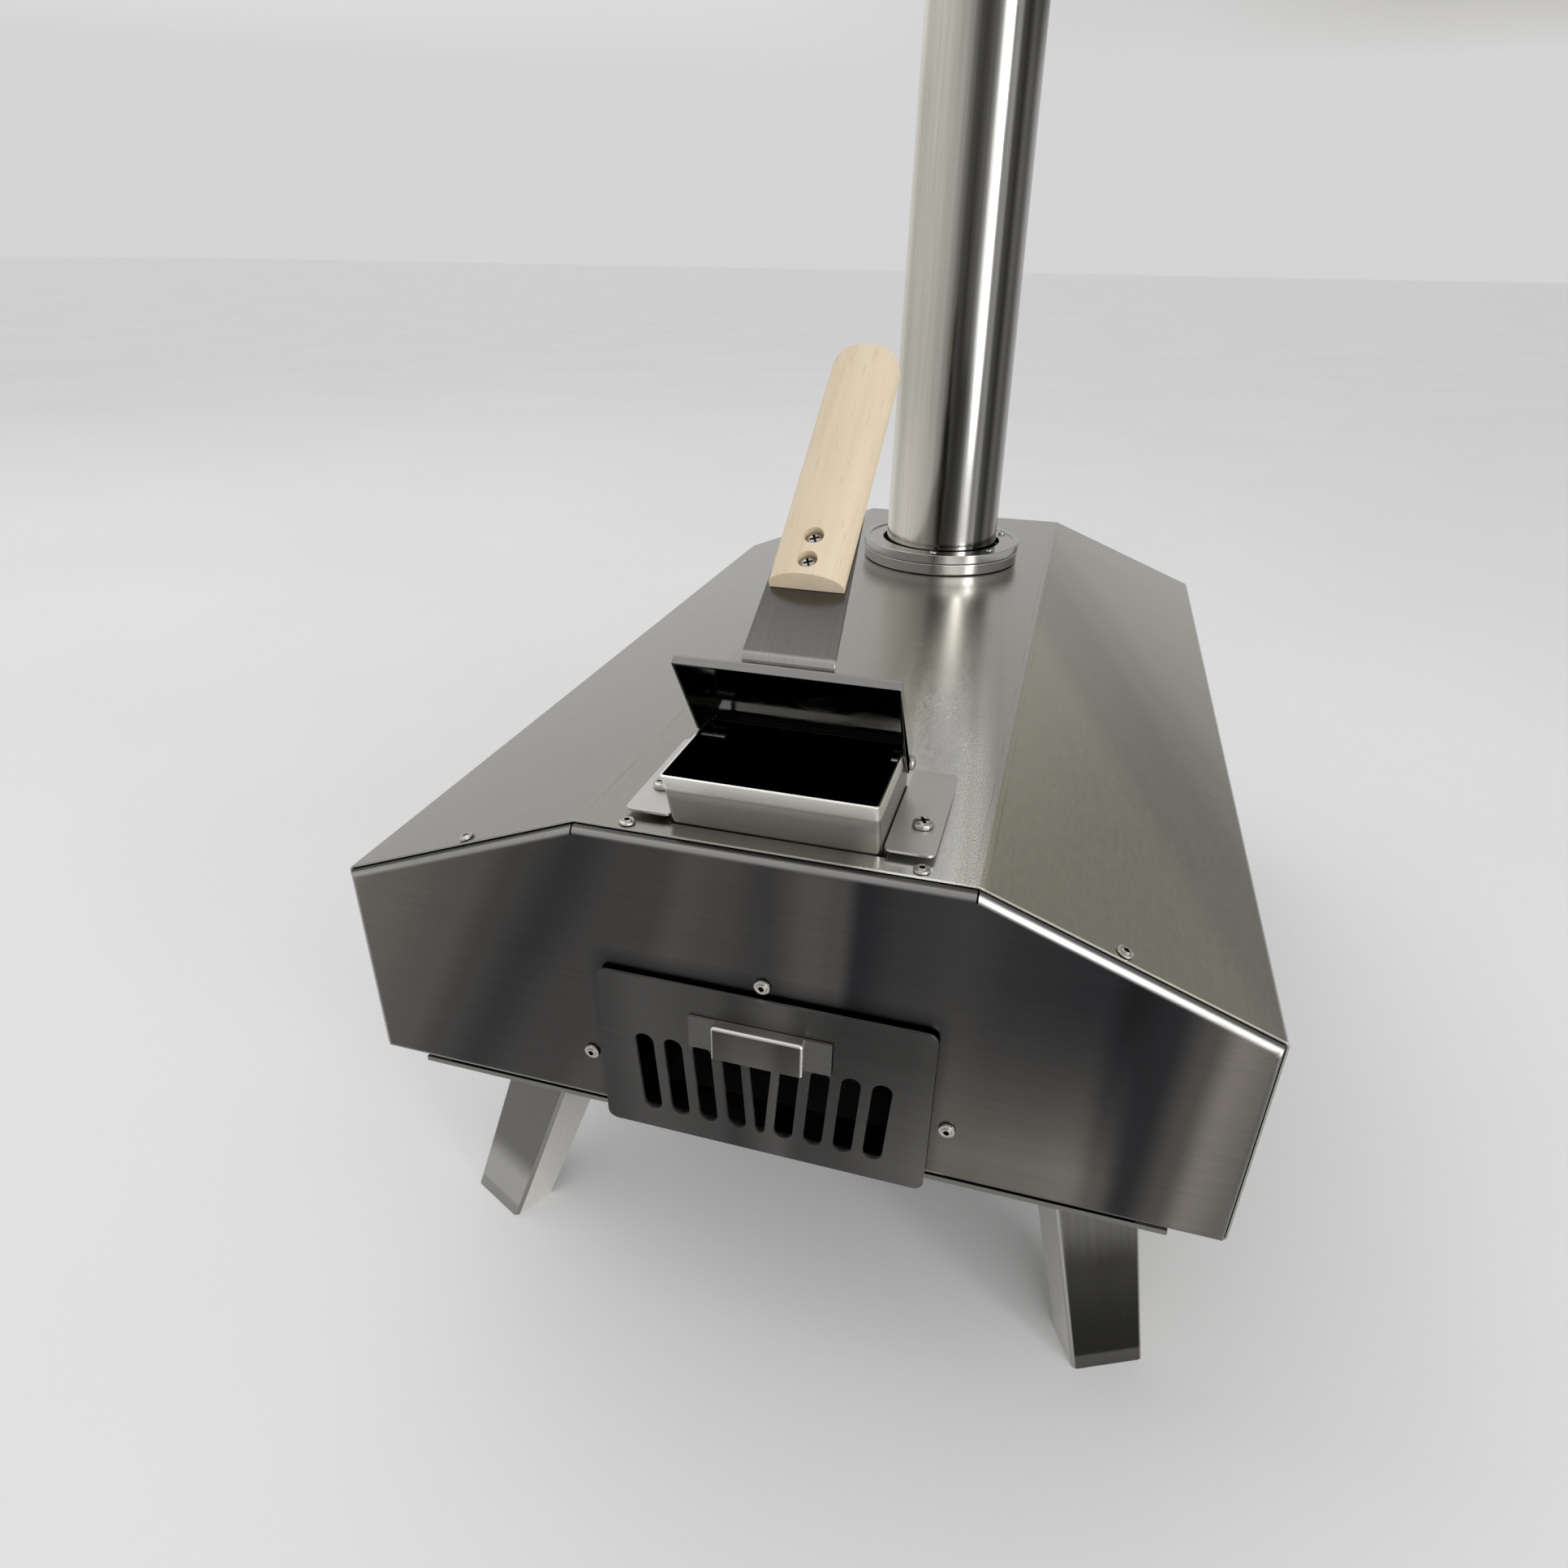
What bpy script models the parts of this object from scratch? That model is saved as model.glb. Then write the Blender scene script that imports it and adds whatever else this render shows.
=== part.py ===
"""Portable wood-pellet pizza oven: a six-sided sheet body on folding legs, with a burner drawer,
a leaning fuel hopper with a hinged lid, a front door and a lift-off chimney.

Body coordinates are used for every piece: X across, Y from the rear face to the front, Z up from the
body's underside. One empty carries them all, so that the world origin is on the table, in the middle of
the space that the oven takes up. Lengths are in metres and angles in degrees.
"""
import math

import bmesh
import bpy
from mathutils import Matrix, Vector

# General
touch_gap = 0.0003
cut_overrun = 0.004
sheet = 0.001
round_steps = 24
small_round_steps = 12
bend_steps = 3
round_profile = 0.5
hex_steps = 6
smooth_angle = 40.0
head_shares = ((1.0, 0.0), (1.0, 0.45), (0.86, 0.8), (0.55, 1.0), (0.0, 1.0))

# Body
body_width = 0.390
body_length = 0.597
side_height = 0.1043
roof_height = 0.1484
roof_flat_width = 0.1616
leg_height = 0.1375
panel_bend_radius = 0.004
panel_flange_depth = 0.0122
shell_setback = 0.0035
shell_return_width = 0.035
bottom_cover_side_inset = 0.0225
bottom_cover_setback = 0.002
bottom_cover_thickness = 0.0012
bottom_hem_depth = 0.006
bottom_hem_thickness = 0.0014

# Rivets and screws of the casing
rivet_radius = 0.0033
rivet_height = 0.0016
rivet_shank_radius = 0.0016
rivet_setback = 0.0078
top_rivet_spacing = 0.1182
roof_rivet_share = 0.47
screw_hole_clearance = 0.0003
panel_screw_radius = 0.0036
panel_screw_height = 0.0022
panel_screw_shank_radius = 0.0019
panel_screw_socket_radius = 0.0015
panel_screw_spacing = 0.160
panel_screw_low_height = 0.0305
panel_screw_top_height = 0.0862

# Baking chamber
liner_inset = 0.0112
lining_setback = 0.0165
blanket_clearance = 0.0004
floor_height = 0.013
floor_side_clearance = 0.0003
floor_rear = 0.158
baffle_setback = 0.009
baffle_height = 0.082
baffle_foot_depth = 0.012
rib_height = 0.010
rib_width = 0.014
rib_inset = 0.020
rib_end_gap = 0.003
stone_side_gap = 0.0178
stone_thickness = 0.010
stone_rear_gap = 0.018
stone_front_gap = 0.020
mouth_side_margin = 0.027
mouth_sill_height = 0.022
mouth_height = 0.074

# Burner drawer
hatch_width = 0.146
hatch_low = -0.0042
hatch_high = 0.0811
hatch_thickness = 0.0015
hatch_gap = 0.0021
hatch_corner_radius = 0.0045
slot_pitch = 0.0132
slot_width = 0.0086
slot_low = 0.0073
slot_high = 0.0503
slot_lean = 3.9
side_slot_count = 4
first_slot_place = 0.0118
middle_slot_top_width = 0.0110
middle_slot_bottom_width = 0.0040
pull_box_width = 0.040
pull_ear_reach = 0.0312
pull_low = 0.0505
pull_height = 0.0165
pull_depth = 0.0060
pull_sheet = 0.0012
tray_width = 0.116
tray_length = 0.150
tray_height = 0.018
tray_base_height = 0.0075
tray_side_clearance = 0.0007
tray_opening_high = 0.068
tray_cradle_ledge = 0.009
tray_cradle_clearance = 0.003
grate_height = 0.024
grate_start = 0.014
grate_slope_run = 0.026
grate_flat_length = 0.067
grate_width = 0.108
grate_slot_count = 7
grate_slot_width = 0.005
grate_slot_length = 0.055
grate_slot_pitch = 0.013
tray_travel = 0.150

# Hopper
chute_width = 0.0852
chute_near_rim = 0.0026
chute_rim_rise = 0.0261
chute_depth = 0.0578
chute_bend_drop = 0.0078
chute_lip_run = 0.0040
chute_lean = 20.0
chute_foot_height = 0.062
chute_hole_clearance = 0.0006
flange_reach = 0.0198
flange_near = 0.0135
flange_length = 0.069
flange_lift = 0.0023
flange_leg_near_gap = 0.0035
flange_leg_length = 0.050
flange_leg_drop = 0.027
flange_corner_radius = 0.003
flange_screw_spacing = 0.1096
flange_screw_place = 0.0352
flange_screw_radius = 0.0042
flange_screw_height = 0.0024
flange_screw_shank_radius = 0.0019

# Hopper lid, all given with the lid closed
lid_side_clearance = 0.0004
lid_open_angle = 44.5
lid_pivot_place = 0.0620
lid_pivot_drop = 0.0095
lid_overlap = 0.0012
lid_skirt = 0.0042
lid_tail = 0.0014
lid_ear_radius = 0.0046
lid_ear_reach = 0.016
lid_ear_drop = 0.0030
lid_pin_radius = 0.0015
lid_pin_hole_clearance = 0.0003
lid_pin_inside = 0.0052
lid_pin_head_radius = 0.0032
lid_pin_head_height = 0.0020
strap_sheet = 0.0012
strap_base_length = 0.026
strap_base_setback = 0.0064
strap_bend_radius = 0.0046
strap_width = 0.0362
strap_end_width = 0.0294
strap_free_length = 0.0296
strap_under_handle = 0.040
strap_rise_angle = 80.9

# Wooden handles
handle_width = 0.030
handle_thickness = 0.0100
handle_flank_share = 0.18
handle_arc_steps = 10
lid_handle_length = 0.122
handle_end_radius = 0.0085
handle_end_start_angle = 10.0
handle_screw_inset = 0.0070
handle_screw_pitch = 0.0115
handle_screw_radius = 0.0032
handle_screw_height = 0.0020
handle_screw_shank_radius = 0.0016
counterbore_radius = 0.0039
counterbore_depth = 0.0042

# Chimney
chimney_front_distance = 0.145
chimney_base_radius = 0.0409
chimney_top_radius = 0.0366
chimney_height = 0.422
chimney_hole_clearance = 0.0017
chimney_seat_width = 0.0030
lower_collar_radius = 0.0568
lower_collar_height = 0.0080
upper_collar_radius = 0.0574
upper_collar_height = 0.0062
collar_hole_clearance = 0.0023
lower_collar_extra_clearance = 0.0008
collar_step_radius = 0.0532
collar_step_depth = 0.0009
collar_screw_place = 0.0494
collar_screw_radius = 0.0026
collar_screw_height = 0.0016
collar_screw_shank_radius = 0.0013
collar_screw_shank_length = 0.0045
collar_screw_angles = (-88.0, -38.0, 30.0, 147.0)
cap_clearance = 0.0006
cap_skirt_depth = 0.018
knob_radius = 0.0125
knob_height = 0.020
knob_neck_radius = 0.006
cap_stud_radius = 0.002
cap_stud_length = 0.009

# Front door
door_overlap = 0.008
door_plug_clearance = 0.0015
door_plug_depth = 0.012
door_sheet = 0.0012
door_corner_radius = 0.006
door_bracket_width = 0.090
door_bracket_foot = 0.014
door_bracket_reach = 0.030
door_bracket_upstand = 0.024
door_bracket_low = 0.052
door_handle_length = 0.116
door_handle_screw_spacing = 0.056

# Legs
leg_lean = 28.2
leg_turn = 25.0
leg_width = 0.0510
leg_foot_width = 0.0372
leg_depth = 0.0300
leg_foot_depth = 0.0208
leg_web_offset = 0.0165
leg_sheet = 0.0012
leg_pivot_side_inset = 0.0591
leg_pivot_place = 0.1078
leg_pivot_drop = 0.0190
leg_stop_gap = 0.0005
leg_pin_radius = 0.0025
leg_pin_clearance = 0.0003
leg_pin_head_radius = 0.0042
leg_pin_head_height = 0.0012
bracket_sheet = 0.0015
bracket_half_length = 0.0165
bracket_side_clearance = 0.0004
bracket_ear_radius = 0.0075
bracket_shoulder_height = 0.006

# Places worked out from the sizes above
half_width = body_width / 2
chamber_half_width = half_width - liner_inset - sheet
stone_half_width = chamber_half_width - stone_side_gap
mouth_half_width = half_width - mouth_side_margin
leg_pivot_side = half_width - leg_pivot_side_inset
leg_head_radius = leg_depth - leg_web_offset
chimney_place = body_length - chimney_front_distance
door_stand_off = door_sheet + door_bracket_reach + handle_thickness + touch_gap * 3
rear_reach = hatch_gap + hatch_thickness + pull_depth
body_middle = (body_length + door_stand_off - rear_reach) / 2
cover_top = -touch_gap
cover_bottom = cover_top - bottom_cover_thickness
hatch_back = -hatch_gap
hatch_front = hatch_back - hatch_thickness
chute_half_width = chute_width / 2
chute_rim_height = roof_height + chute_rim_rise
chute_slope = math.tan(math.radians(chute_lean))
lid_pivot = Vector((0, lid_pivot_place, chute_rim_height - lid_pivot_drop))
lid_plate_low = lid_pivot_drop + touch_gap
lid_plate_high = lid_plate_low + sheet
lid_half_width = chute_half_width + lid_side_clearance + sheet
lid_free_edge = chute_near_rim - lid_overlap - lid_pivot_place
liner_top = roof_height - liner_inset
chimney_seat = liner_top + touch_gap
chimney_top = roof_height + chimney_height
lower_collar_low = roof_height + touch_gap
lower_collar_high = lower_collar_low + lower_collar_height
upper_collar_low = lower_collar_high + touch_gap
upper_collar_high = upper_collar_low + upper_collar_height

STEEL = (0.56, 0.55, 0.53, 1.0)
DARK_STEEL = (0.30, 0.30, 0.30, 1.0)
BRIGHT_STEEL = (0.72, 0.71, 0.69, 1.0)
WOOD = (0.86, 0.75, 0.57, 1.0)
STONE = (0.62, 0.55, 0.44, 1.0)
BLANKET = (0.88, 0.87, 0.83, 1.0)


def clear_scene():
    for item in list(bpy.data.objects):
        bpy.data.objects.remove(item, do_unlink=True)


def make_empty(name, at=(0, 0, 0), parent=None, turn=(0, 0, 0)):
    empty = bpy.data.objects.new(name, None)
    bpy.context.scene.collection.objects.link(empty)
    empty.location = at
    empty.rotation_euler = [math.radians(angle) for angle in turn]
    empty.parent = parent
    return empty


def object_from(name, bm):
    """Make an object from a bmesh whose faces are turned outward first."""
    bmesh.ops.recalc_face_normals(bm, faces=bm.faces)
    mesh = bpy.data.meshes.new(name)
    bm.to_mesh(mesh)
    bm.free()
    item = bpy.data.objects.new(name, mesh)
    bpy.context.scene.collection.objects.link(item)
    return item


def finish(item, colour, roughness, metallic, parent, smooth=False):
    """Give a piece its own material and hang it on its carrier."""
    material = bpy.data.materials.new(item.name + "_finish")
    material.use_nodes = True
    shader = material.node_tree.nodes["Principled BSDF"]
    shader.inputs["Base Color"].default_value = colour
    shader.inputs["Roughness"].default_value = roughness
    shader.inputs["Metallic"].default_value = metallic
    item.data.materials.clear()
    item.data.materials.append(material)
    item.parent = parent
    if smooth:
        item.data.shade_smooth()
        item.data.set_sharp_from_angle(angle=math.radians(smooth_angle))
    return item


def keep_evaluated(item):
    """Replace a piece's mesh by what its modifiers make of it."""
    graph = bpy.context.evaluated_depsgraph_get()
    mesh = bpy.data.meshes.new_from_object(item.evaluated_get(graph))
    item.modifiers.clear()
    item.data = mesh


def combine(item, tool, operation="DIFFERENCE"):
    """Cut a piece with a tool, or join the tool to it, and remove the tool."""
    step = item.modifiers.new("shape", "BOOLEAN")
    step.operation = operation
    step.solver = "EXACT"
    step.object = tool
    keep_evaluated(item)
    bpy.data.objects.remove(tool, do_unlink=True)
    return item


def thicken(item, thickness):
    """Give an open sheet its wall, inward from the drawn side."""
    step = item.modifiers.new("wall", "SOLIDIFY")
    step.thickness = thickness
    step.offset = -1.0
    step.use_even_offset = True
    keep_evaluated(item)
    return item


def at_plane(axis, first, second, along):
    """Order two outline coordinates and the one along the axis as X, Y and Z."""
    if axis == "X":
        return Vector((along, first, second))
    if axis == "Y":
        return Vector((first, along, second))
    return Vector((first, second, along))


def prism(name, outline, axis, low, high):
    """Closed outline, drawn in the two other coordinates, run from low to high along an axis."""
    bm = bmesh.new()
    corners = [bm.verts.new(at_plane(axis, first, second, low)) for first, second in outline]
    face = bm.faces.new(corners)
    side = bmesh.ops.extrude_face_region(bm, geom=[face])
    moved = [part for part in side["geom"] if isinstance(part, bmesh.types.BMVert)]
    bmesh.ops.translate(bm, vec=at_plane(axis, 0, 0, high - low), verts=moved)
    return object_from(name, bm)


def block(name, low, high):
    outline = ((low[0], low[1]), (high[0], low[1]), (high[0], high[1]), (low[0], high[1]))
    return prism(name, outline, "Z", low[2], high[2])


def rod(name, radius, start, end, steps=small_round_steps, end_radius=None):
    """Round bar, or cone, between two points."""
    start = Vector(start)
    end = Vector(end)
    turn = (end - start).to_track_quat("Z", "Y").to_matrix().to_4x4()
    place = Matrix.Translation((start + end) / 2) @ turn
    bm = bmesh.new()
    top = radius if end_radius is None else end_radius
    bmesh.ops.create_cone(bm, cap_ends=True, segments=steps, radius1=radius, radius2=top,
                          depth=(end - start).length, matrix=place)
    return object_from(name, bm)


def turned(name, profile, centre, steps=round_steps):
    """Outline of radius and height, turned about an upright axis; it may begin and end on the axis."""
    bm = bmesh.new()
    corners = [bm.verts.new((radius, 0, height)) for radius, height in profile]
    rim = [bm.edges.new(pair) for pair in zip(corners, corners[1:])]
    if profile[0][0] > 0:
        rim.append(bm.edges.new((corners[-1], corners[0])))
    bmesh.ops.spin(bm, geom=corners + rim, cent=(0, 0, 0), axis=(0, 0, 1), angle=math.tau,
                   steps=steps, use_merge=True)
    bmesh.ops.remove_doubles(bm, verts=bm.verts, dist=touch_gap / 10)
    bm.transform(Matrix.Translation(centre))
    return object_from(name, bm)


def screw(name, radius, height, shank_radius, shank_length, two_heads=False):
    """Low domed head above the origin, with its shank, or shank and second head, below it."""
    head = [(radius * width_share, height * height_share) for width_share, height_share in head_shares]
    if two_heads:
        foot = [(width, -shank_length - lift) for width, lift in head[::-1]]
    else:
        foot = [(0, -shank_length)]
    profile = foot + [(shank_radius, -shank_length), (shank_radius, 0)] + head
    return turned(name, profile, (0, 0, 0), small_round_steps)


def set_fastener(item, base, direction, parent):
    """Stand a screw or rivet on its base point, with its head outward."""
    item.location = base
    item.rotation_euler = Vector(direction).to_track_quat("Z", "Y").to_euler()
    return finish(item, BRIGHT_STEEL, 0.2, 1.0, parent, True)


def sheet_outline(path, thickness):
    """Close a bent sheet's drawn path into an outline, with the wall on its left side."""
    points = [Vector(point) for point in path]
    directions = [(after - before).normalized() for before, after in zip(points, points[1:])]
    inner = []
    for index, point in enumerate(points):
        before = directions[max(index - 1, 0)]
        after = directions[min(index, len(directions) - 1)]
        left = Vector((-before.y, before.x))
        other = Vector((-after.y, after.x))
        mitre = (left + other).normalized()
        inner.append(point + mitre * thickness / mitre.dot(left))
    return [tuple(point) for point in points + inner[::-1]]


def arc(centre, radius, start, end, steps):
    """Points on a circle from a start angle to an end angle."""
    points = []
    for step in range(steps + 1):
        angle = math.radians(start + (end - start) * step / steps)
        points.append((centre[0] + radius * math.cos(angle), centre[1] + radius * math.sin(angle)))
    return points


def rounded_rectangle(low, high, radius, steps=bend_steps):
    """Rectangle outline with round corners, from its two opposite corners."""
    left, bottom = low[0] + radius, low[1] + radius
    right, top = high[0] - radius, high[1] - radius
    return (arc((right, top), radius, 0, 90, steps) + arc((left, top), radius, 90, 180, steps)
            + arc((left, bottom), radius, 180, 270, steps) + arc((right, bottom), radius, 270, 360, steps))


def body_outline(inset, floor):
    """Six-sided cross-section, moved inward by an inset, with its own bottom height."""
    roof_half = roof_flat_width / 2
    slope = math.atan2(roof_height - side_height, half_width - roof_half)
    eave_drop = inset * math.tan((math.pi / 2 - slope) / 2)
    ridge_shift = inset * math.tan(slope / 2)
    side = half_width - inset
    eave = side_height - eave_drop
    ridge = roof_half - ridge_shift
    top = roof_height - inset
    return [(-side, floor), (-side, eave), (-ridge, top), (ridge, top), (side, eave), (side, floor)]


def roof_point(place_share, along, lift):
    """Point and outward direction on a roof slope; a positive share lies on the right."""
    roof_half = roof_flat_width / 2
    side = math.copysign(1, place_share)
    share = abs(place_share)
    across = roof_half + (half_width - roof_half) * share
    height = roof_height - (roof_height - side_height) * share
    outward = Vector((side * (roof_height - side_height), 0, half_width - roof_half)).normalized()
    return Vector((side * across, along, height)) + outward * lift, outward


def casing_rivet_places():
    """Name, base point and direction of the rivets near the rear end of the casing."""
    places = []
    for name, side in (("left", -1), ("right", 1)):
        base = Vector((side * top_rivet_spacing / 2, rivet_setback, roof_height + touch_gap))
        places.append(("top_rivet_" + name, base, Vector((0, 0, 1))))
        places.append(("roof_rivet_" + name, *roof_point(side * roof_rivet_share, rivet_setback, touch_gap)))
    return places


def make_outer_shell(frame):
    """One sheet wrapped over the sides, the roofs and the top, turned in under the bottom."""
    outer = body_outline(0, 0)
    return_edge = half_width - shell_return_width
    path = [(return_edge, 0)] + outer[::-1] + [(-return_edge, 0)]
    shell = prism("outer_shell", sheet_outline(path, sheet), "Y", shell_setback,
                  body_length - shell_setback)
    combine(shell, chute_hole_tool(0))
    hole_radius = chimney_base_radius + chimney_hole_clearance
    combine(shell, chimney_hole_tool(hole_radius))
    for _, base, outward in casing_rivet_places():
        combine(shell, rivet_hole_tool(base, outward))
    return finish(shell, STEEL, 0.3, 1.0, frame)


def chute_hole_tool(margin):
    """Straight cutter that lets the chute and its flange legs through a roof layer."""
    half = chute_half_width + lid_side_clearance + sheet + chute_hole_clearance
    low = chute_line(roof_height) - chute_hole_clearance
    high = chute_line(roof_height - margin) + chute_depth + chute_hole_clearance + sheet
    return block("chute_hole", (-half, low, roof_height - liner_inset - sheet - cut_overrun),
                 (half, high, roof_height + cut_overrun))


def chimney_hole_tool(radius):
    centre = (0, chimney_place)
    low = liner_top - sheet - cut_overrun
    return rod("chimney_hole", radius, (*centre, low), (*centre, roof_height + cut_overrun), round_steps)


def rivet_hole_tool(base, outward):
    radius = rivet_shank_radius + screw_hole_clearance
    depth = sheet * 2 + touch_gap * 2 + cut_overrun / 4
    return rod("rivet_hole", radius, base - outward * depth, base + outward * cut_overrun)


def end_pan(name, face_place, inward):
    """End panel: a six-sided face whose rim is bent back into the shell."""
    inset = sheet + touch_gap
    outline = body_outline(inset, inset)
    bm = bmesh.new()
    corners = [bm.verts.new((across, face_place, height)) for across, height in outline]
    face = bm.faces.new(corners)
    side = bmesh.ops.extrude_face_region(bm, geom=[face])
    far = [part for part in side["geom"] if isinstance(part, bmesh.types.BMVert)]
    back = [part for part in side["geom"] if isinstance(part, bmesh.types.BMFace)]
    bmesh.ops.translate(bm, vec=(0, inward * panel_flange_depth, 0), verts=far)
    bmesh.ops.recalc_face_normals(bm, faces=bm.faces)
    bmesh.ops.delete(bm, geom=back, context="FACES_ONLY")
    rim = [edge for edge in bm.edges if all(abs(v.co.y - face_place) < touch_gap for v in edge.verts)]
    bmesh.ops.bevel(bm, geom=rim, offset=panel_bend_radius, segments=bend_steps, profile=round_profile,
                    affect="EDGES", material=-1)
    mesh = bpy.data.meshes.new(name)
    bm.to_mesh(mesh)
    bm.free()
    panel = bpy.data.objects.new(name, mesh)
    bpy.context.scene.collection.objects.link(panel)
    return thicken(panel, sheet)


def panel_screw_places():
    half = panel_screw_spacing / 2
    return (("left", -half, panel_screw_low_height), ("right", half, panel_screw_low_height),
            ("top", 0, panel_screw_top_height))


def make_rear_panel(frame):
    panel = end_pan("rear_panel", 0, 1)
    half = tray_width / 2 + tray_side_clearance
    low = tray_base_height - touch_gap * 3
    combine(panel, block("tray_opening", (-half, -cut_overrun, low), (half, cut_overrun, tray_opening_high)))
    radius = panel_screw_shank_radius + screw_hole_clearance
    for _, across, height in panel_screw_places():
        hole = rod("screw_hole", radius, (across, -cut_overrun, height), (across, cut_overrun, height))
        combine(panel, hole)
    for _, base, outward in casing_rivet_places():
        combine(panel, rivet_hole_tool(base, outward))
    return finish(panel, STEEL, 0.32, 1.0, frame)


def make_front_panel(frame):
    panel = end_pan("front_panel", body_length, -1)
    half = mouth_half_width
    opening = rounded_rectangle((-half, mouth_sill_height), (half, mouth_sill_height + mouth_height),
                                door_corner_radius)
    combine(panel, prism("mouth", opening, "Y", body_length - cut_overrun, body_length + cut_overrun))
    return finish(panel, STEEL, 0.32, 1.0, frame)


def make_casing_rivets(frame):
    """Pop rivets that hold the shell to the rear panel's rim."""
    for name, base, outward in casing_rivet_places():
        rivet = screw(name, rivet_radius, rivet_height, rivet_shank_radius, sheet * 2 + touch_gap * 2)
        set_fastener(rivet, base, outward, frame)


def make_panel_screws(frame):
    """Socket-head screws in the rear panel."""
    for name, across, height in panel_screw_places():
        item = screw("panel_screw_" + name, panel_screw_radius, panel_screw_height,
                     panel_screw_shank_radius, sheet * 3)
        combine(item, rod("socket", panel_screw_socket_radius, (0, 0, panel_screw_height / 2),
                          (0, 0, panel_screw_height + cut_overrun), hex_steps))
        set_fastener(item, (across, -touch_gap, height), (0, -1, 0), frame)


def make_bottom_cover(frame):
    """Plate that closes the bottom, with a folded hem along both end edges."""
    half = half_width - bottom_cover_side_inset
    rear = bottom_cover_setback
    front = body_length - bottom_cover_setback
    hem_low = cover_bottom - bottom_hem_thickness
    outline = [(rear, hem_low), (rear + bottom_hem_depth, hem_low), (rear + bottom_hem_depth, cover_bottom),
               (front - bottom_hem_depth, cover_bottom), (front - bottom_hem_depth, hem_low),
               (front, hem_low), (front, cover_top), (rear, cover_top)]
    cover = prism("bottom_cover", outline, "X", -half, half)
    return finish(cover, STEEL, 0.35, 1.0, frame)


def make_inner_liner(frame):
    """Hood of the baking chamber, which stands on the shell's bottom returns."""
    low = sheet + touch_gap
    path = body_outline(liner_inset, low)
    liner = prism("inner_liner", sheet_outline(path[::-1], sheet), "Y", lining_setback,
                  body_length - lining_setback)
    combine(liner, chute_hole_tool(liner_inset + sheet))
    combine(liner, chimney_hole_tool(chimney_base_radius - chimney_seat_width))
    return finish(liner, STEEL, 0.4, 1.0, frame)


def make_insulation(frame):
    """Ceramic blanket between the shell and the liner."""
    low = sheet + touch_gap
    outer_inset = sheet * 2 + touch_gap * 2
    thickness = liner_inset - outer_inset - blanket_clearance
    path = body_outline(outer_inset, low)
    blanket = prism("insulation_blanket", sheet_outline(path[::-1], thickness), "Y",
                    lining_setback, body_length - lining_setback)
    combine(blanket, chute_hole_tool(liner_inset + sheet))
    combine(blanket, chimney_hole_tool(chimney_base_radius + chimney_hole_clearance))
    shank_clearance = rivet_shank_radius + screw_hole_clearance
    for side in (-1, 1):
        place = (side * flange_screw_spacing / 2, flange_screw_place)
        combine(blanket, rod("screw_room", shank_clearance + sheet, (*place, liner_top + sheet * 3),
                             (*place, roof_height + cut_overrun)))
    return finish(blanket, BLANKET, 0.95, 0.0, frame)


def make_chamber_floor(frame):
    """Floor plate with its sides bent down to the returns and two pressed ribs under the stone."""
    half = chamber_half_width - floor_side_clearance
    low = sheet + touch_gap
    crest = floor_height + rib_height
    inner = stone_half_width - rib_inset - rib_width / 2
    outer = inner + rib_width
    right = [(half, low), (half, floor_height), (outer, floor_height), (outer, crest),
             (inner, crest), (inner, floor_height)]
    path = right + [(-across, height) for across, height in right[::-1]]
    floor = prism("chamber_floor", sheet_outline(path, sheet), "Y", floor_rear,
                  body_length - lining_setback)
    start = floor_rear + baffle_setback + baffle_foot_depth + rib_end_gap
    for side in (-1, 1):
        first, last = sorted((side * (inner - rib_end_gap), side * (outer + rib_end_gap)))
        combine(floor, block("rib_end", (first, floor_rear - cut_overrun, floor_height + touch_gap / 3),
                             (last, start, crest + cut_overrun)))
    return finish(floor, STEEL, 0.45, 1.0, frame)


def make_baking_stone(frame):
    low = floor_height + rib_height + touch_gap
    start = floor_rear + baffle_setback + stone_rear_gap
    half = stone_half_width
    stone = block("baking_stone", (-half, start, low), (half, body_length - stone_front_gap,
                                                        low + stone_thickness))
    return finish(stone, STONE, 0.9, 0.0, frame)


def make_flame_baffle(frame):
    """Upright plate between burner and stone that sends the flame over the top."""
    half = chamber_half_width - floor_side_clearance
    low = floor_height + touch_gap
    rear = floor_rear + baffle_setback
    path = [(rear + baffle_foot_depth, low), (rear, low), (rear, low + baffle_height)]
    baffle = prism("flame_baffle", sheet_outline(path[::-1], sheet), "X", -half, half)
    return finish(baffle, STEEL, 0.5, 1.0, frame)


def slot_outline(low_place, high_place, low_width, high_width):
    """Air slot with round ends whose middle line leans from a low to a high place."""
    low_centre = slot_low + low_width / 2
    high_centre = slot_high - high_width / 2
    return (arc((high_place, high_centre), high_width / 2, 0, 180, bend_steps * 2)
            + arc((low_place, low_centre), low_width / 2, 180, 360, bend_steps * 2))


def slot_outlines():
    """Leaning slots on both sides of a wedge-shaped middle slot."""
    half_shift = (slot_high - slot_low) / 2 * math.tan(math.radians(slot_lean))
    outlines = [slot_outline(0, 0, middle_slot_bottom_width, middle_slot_top_width)]
    for index in range(side_slot_count):
        place = first_slot_place + index * slot_pitch
        for side in (-1, 1):
            outlines.append(slot_outline(side * (place - half_shift), side * (place + half_shift),
                                         slot_width, slot_width))
    return outlines


def make_hatch_plate(frame):
    """Closing plate of the burner drawer, with its fan of air slots."""
    half = hatch_width / 2
    outline = rounded_rectangle((-half, hatch_low), (half, hatch_high), hatch_corner_radius)
    plate = prism("hatch_plate", outline, "Y", hatch_front, hatch_back)
    for outline in slot_outlines():
        combine(plate, prism("slot", outline, "Y", hatch_front - cut_overrun, hatch_back + cut_overrun))
    return finish(plate, DARK_STEEL, 0.4, 1.0, frame)


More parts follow.
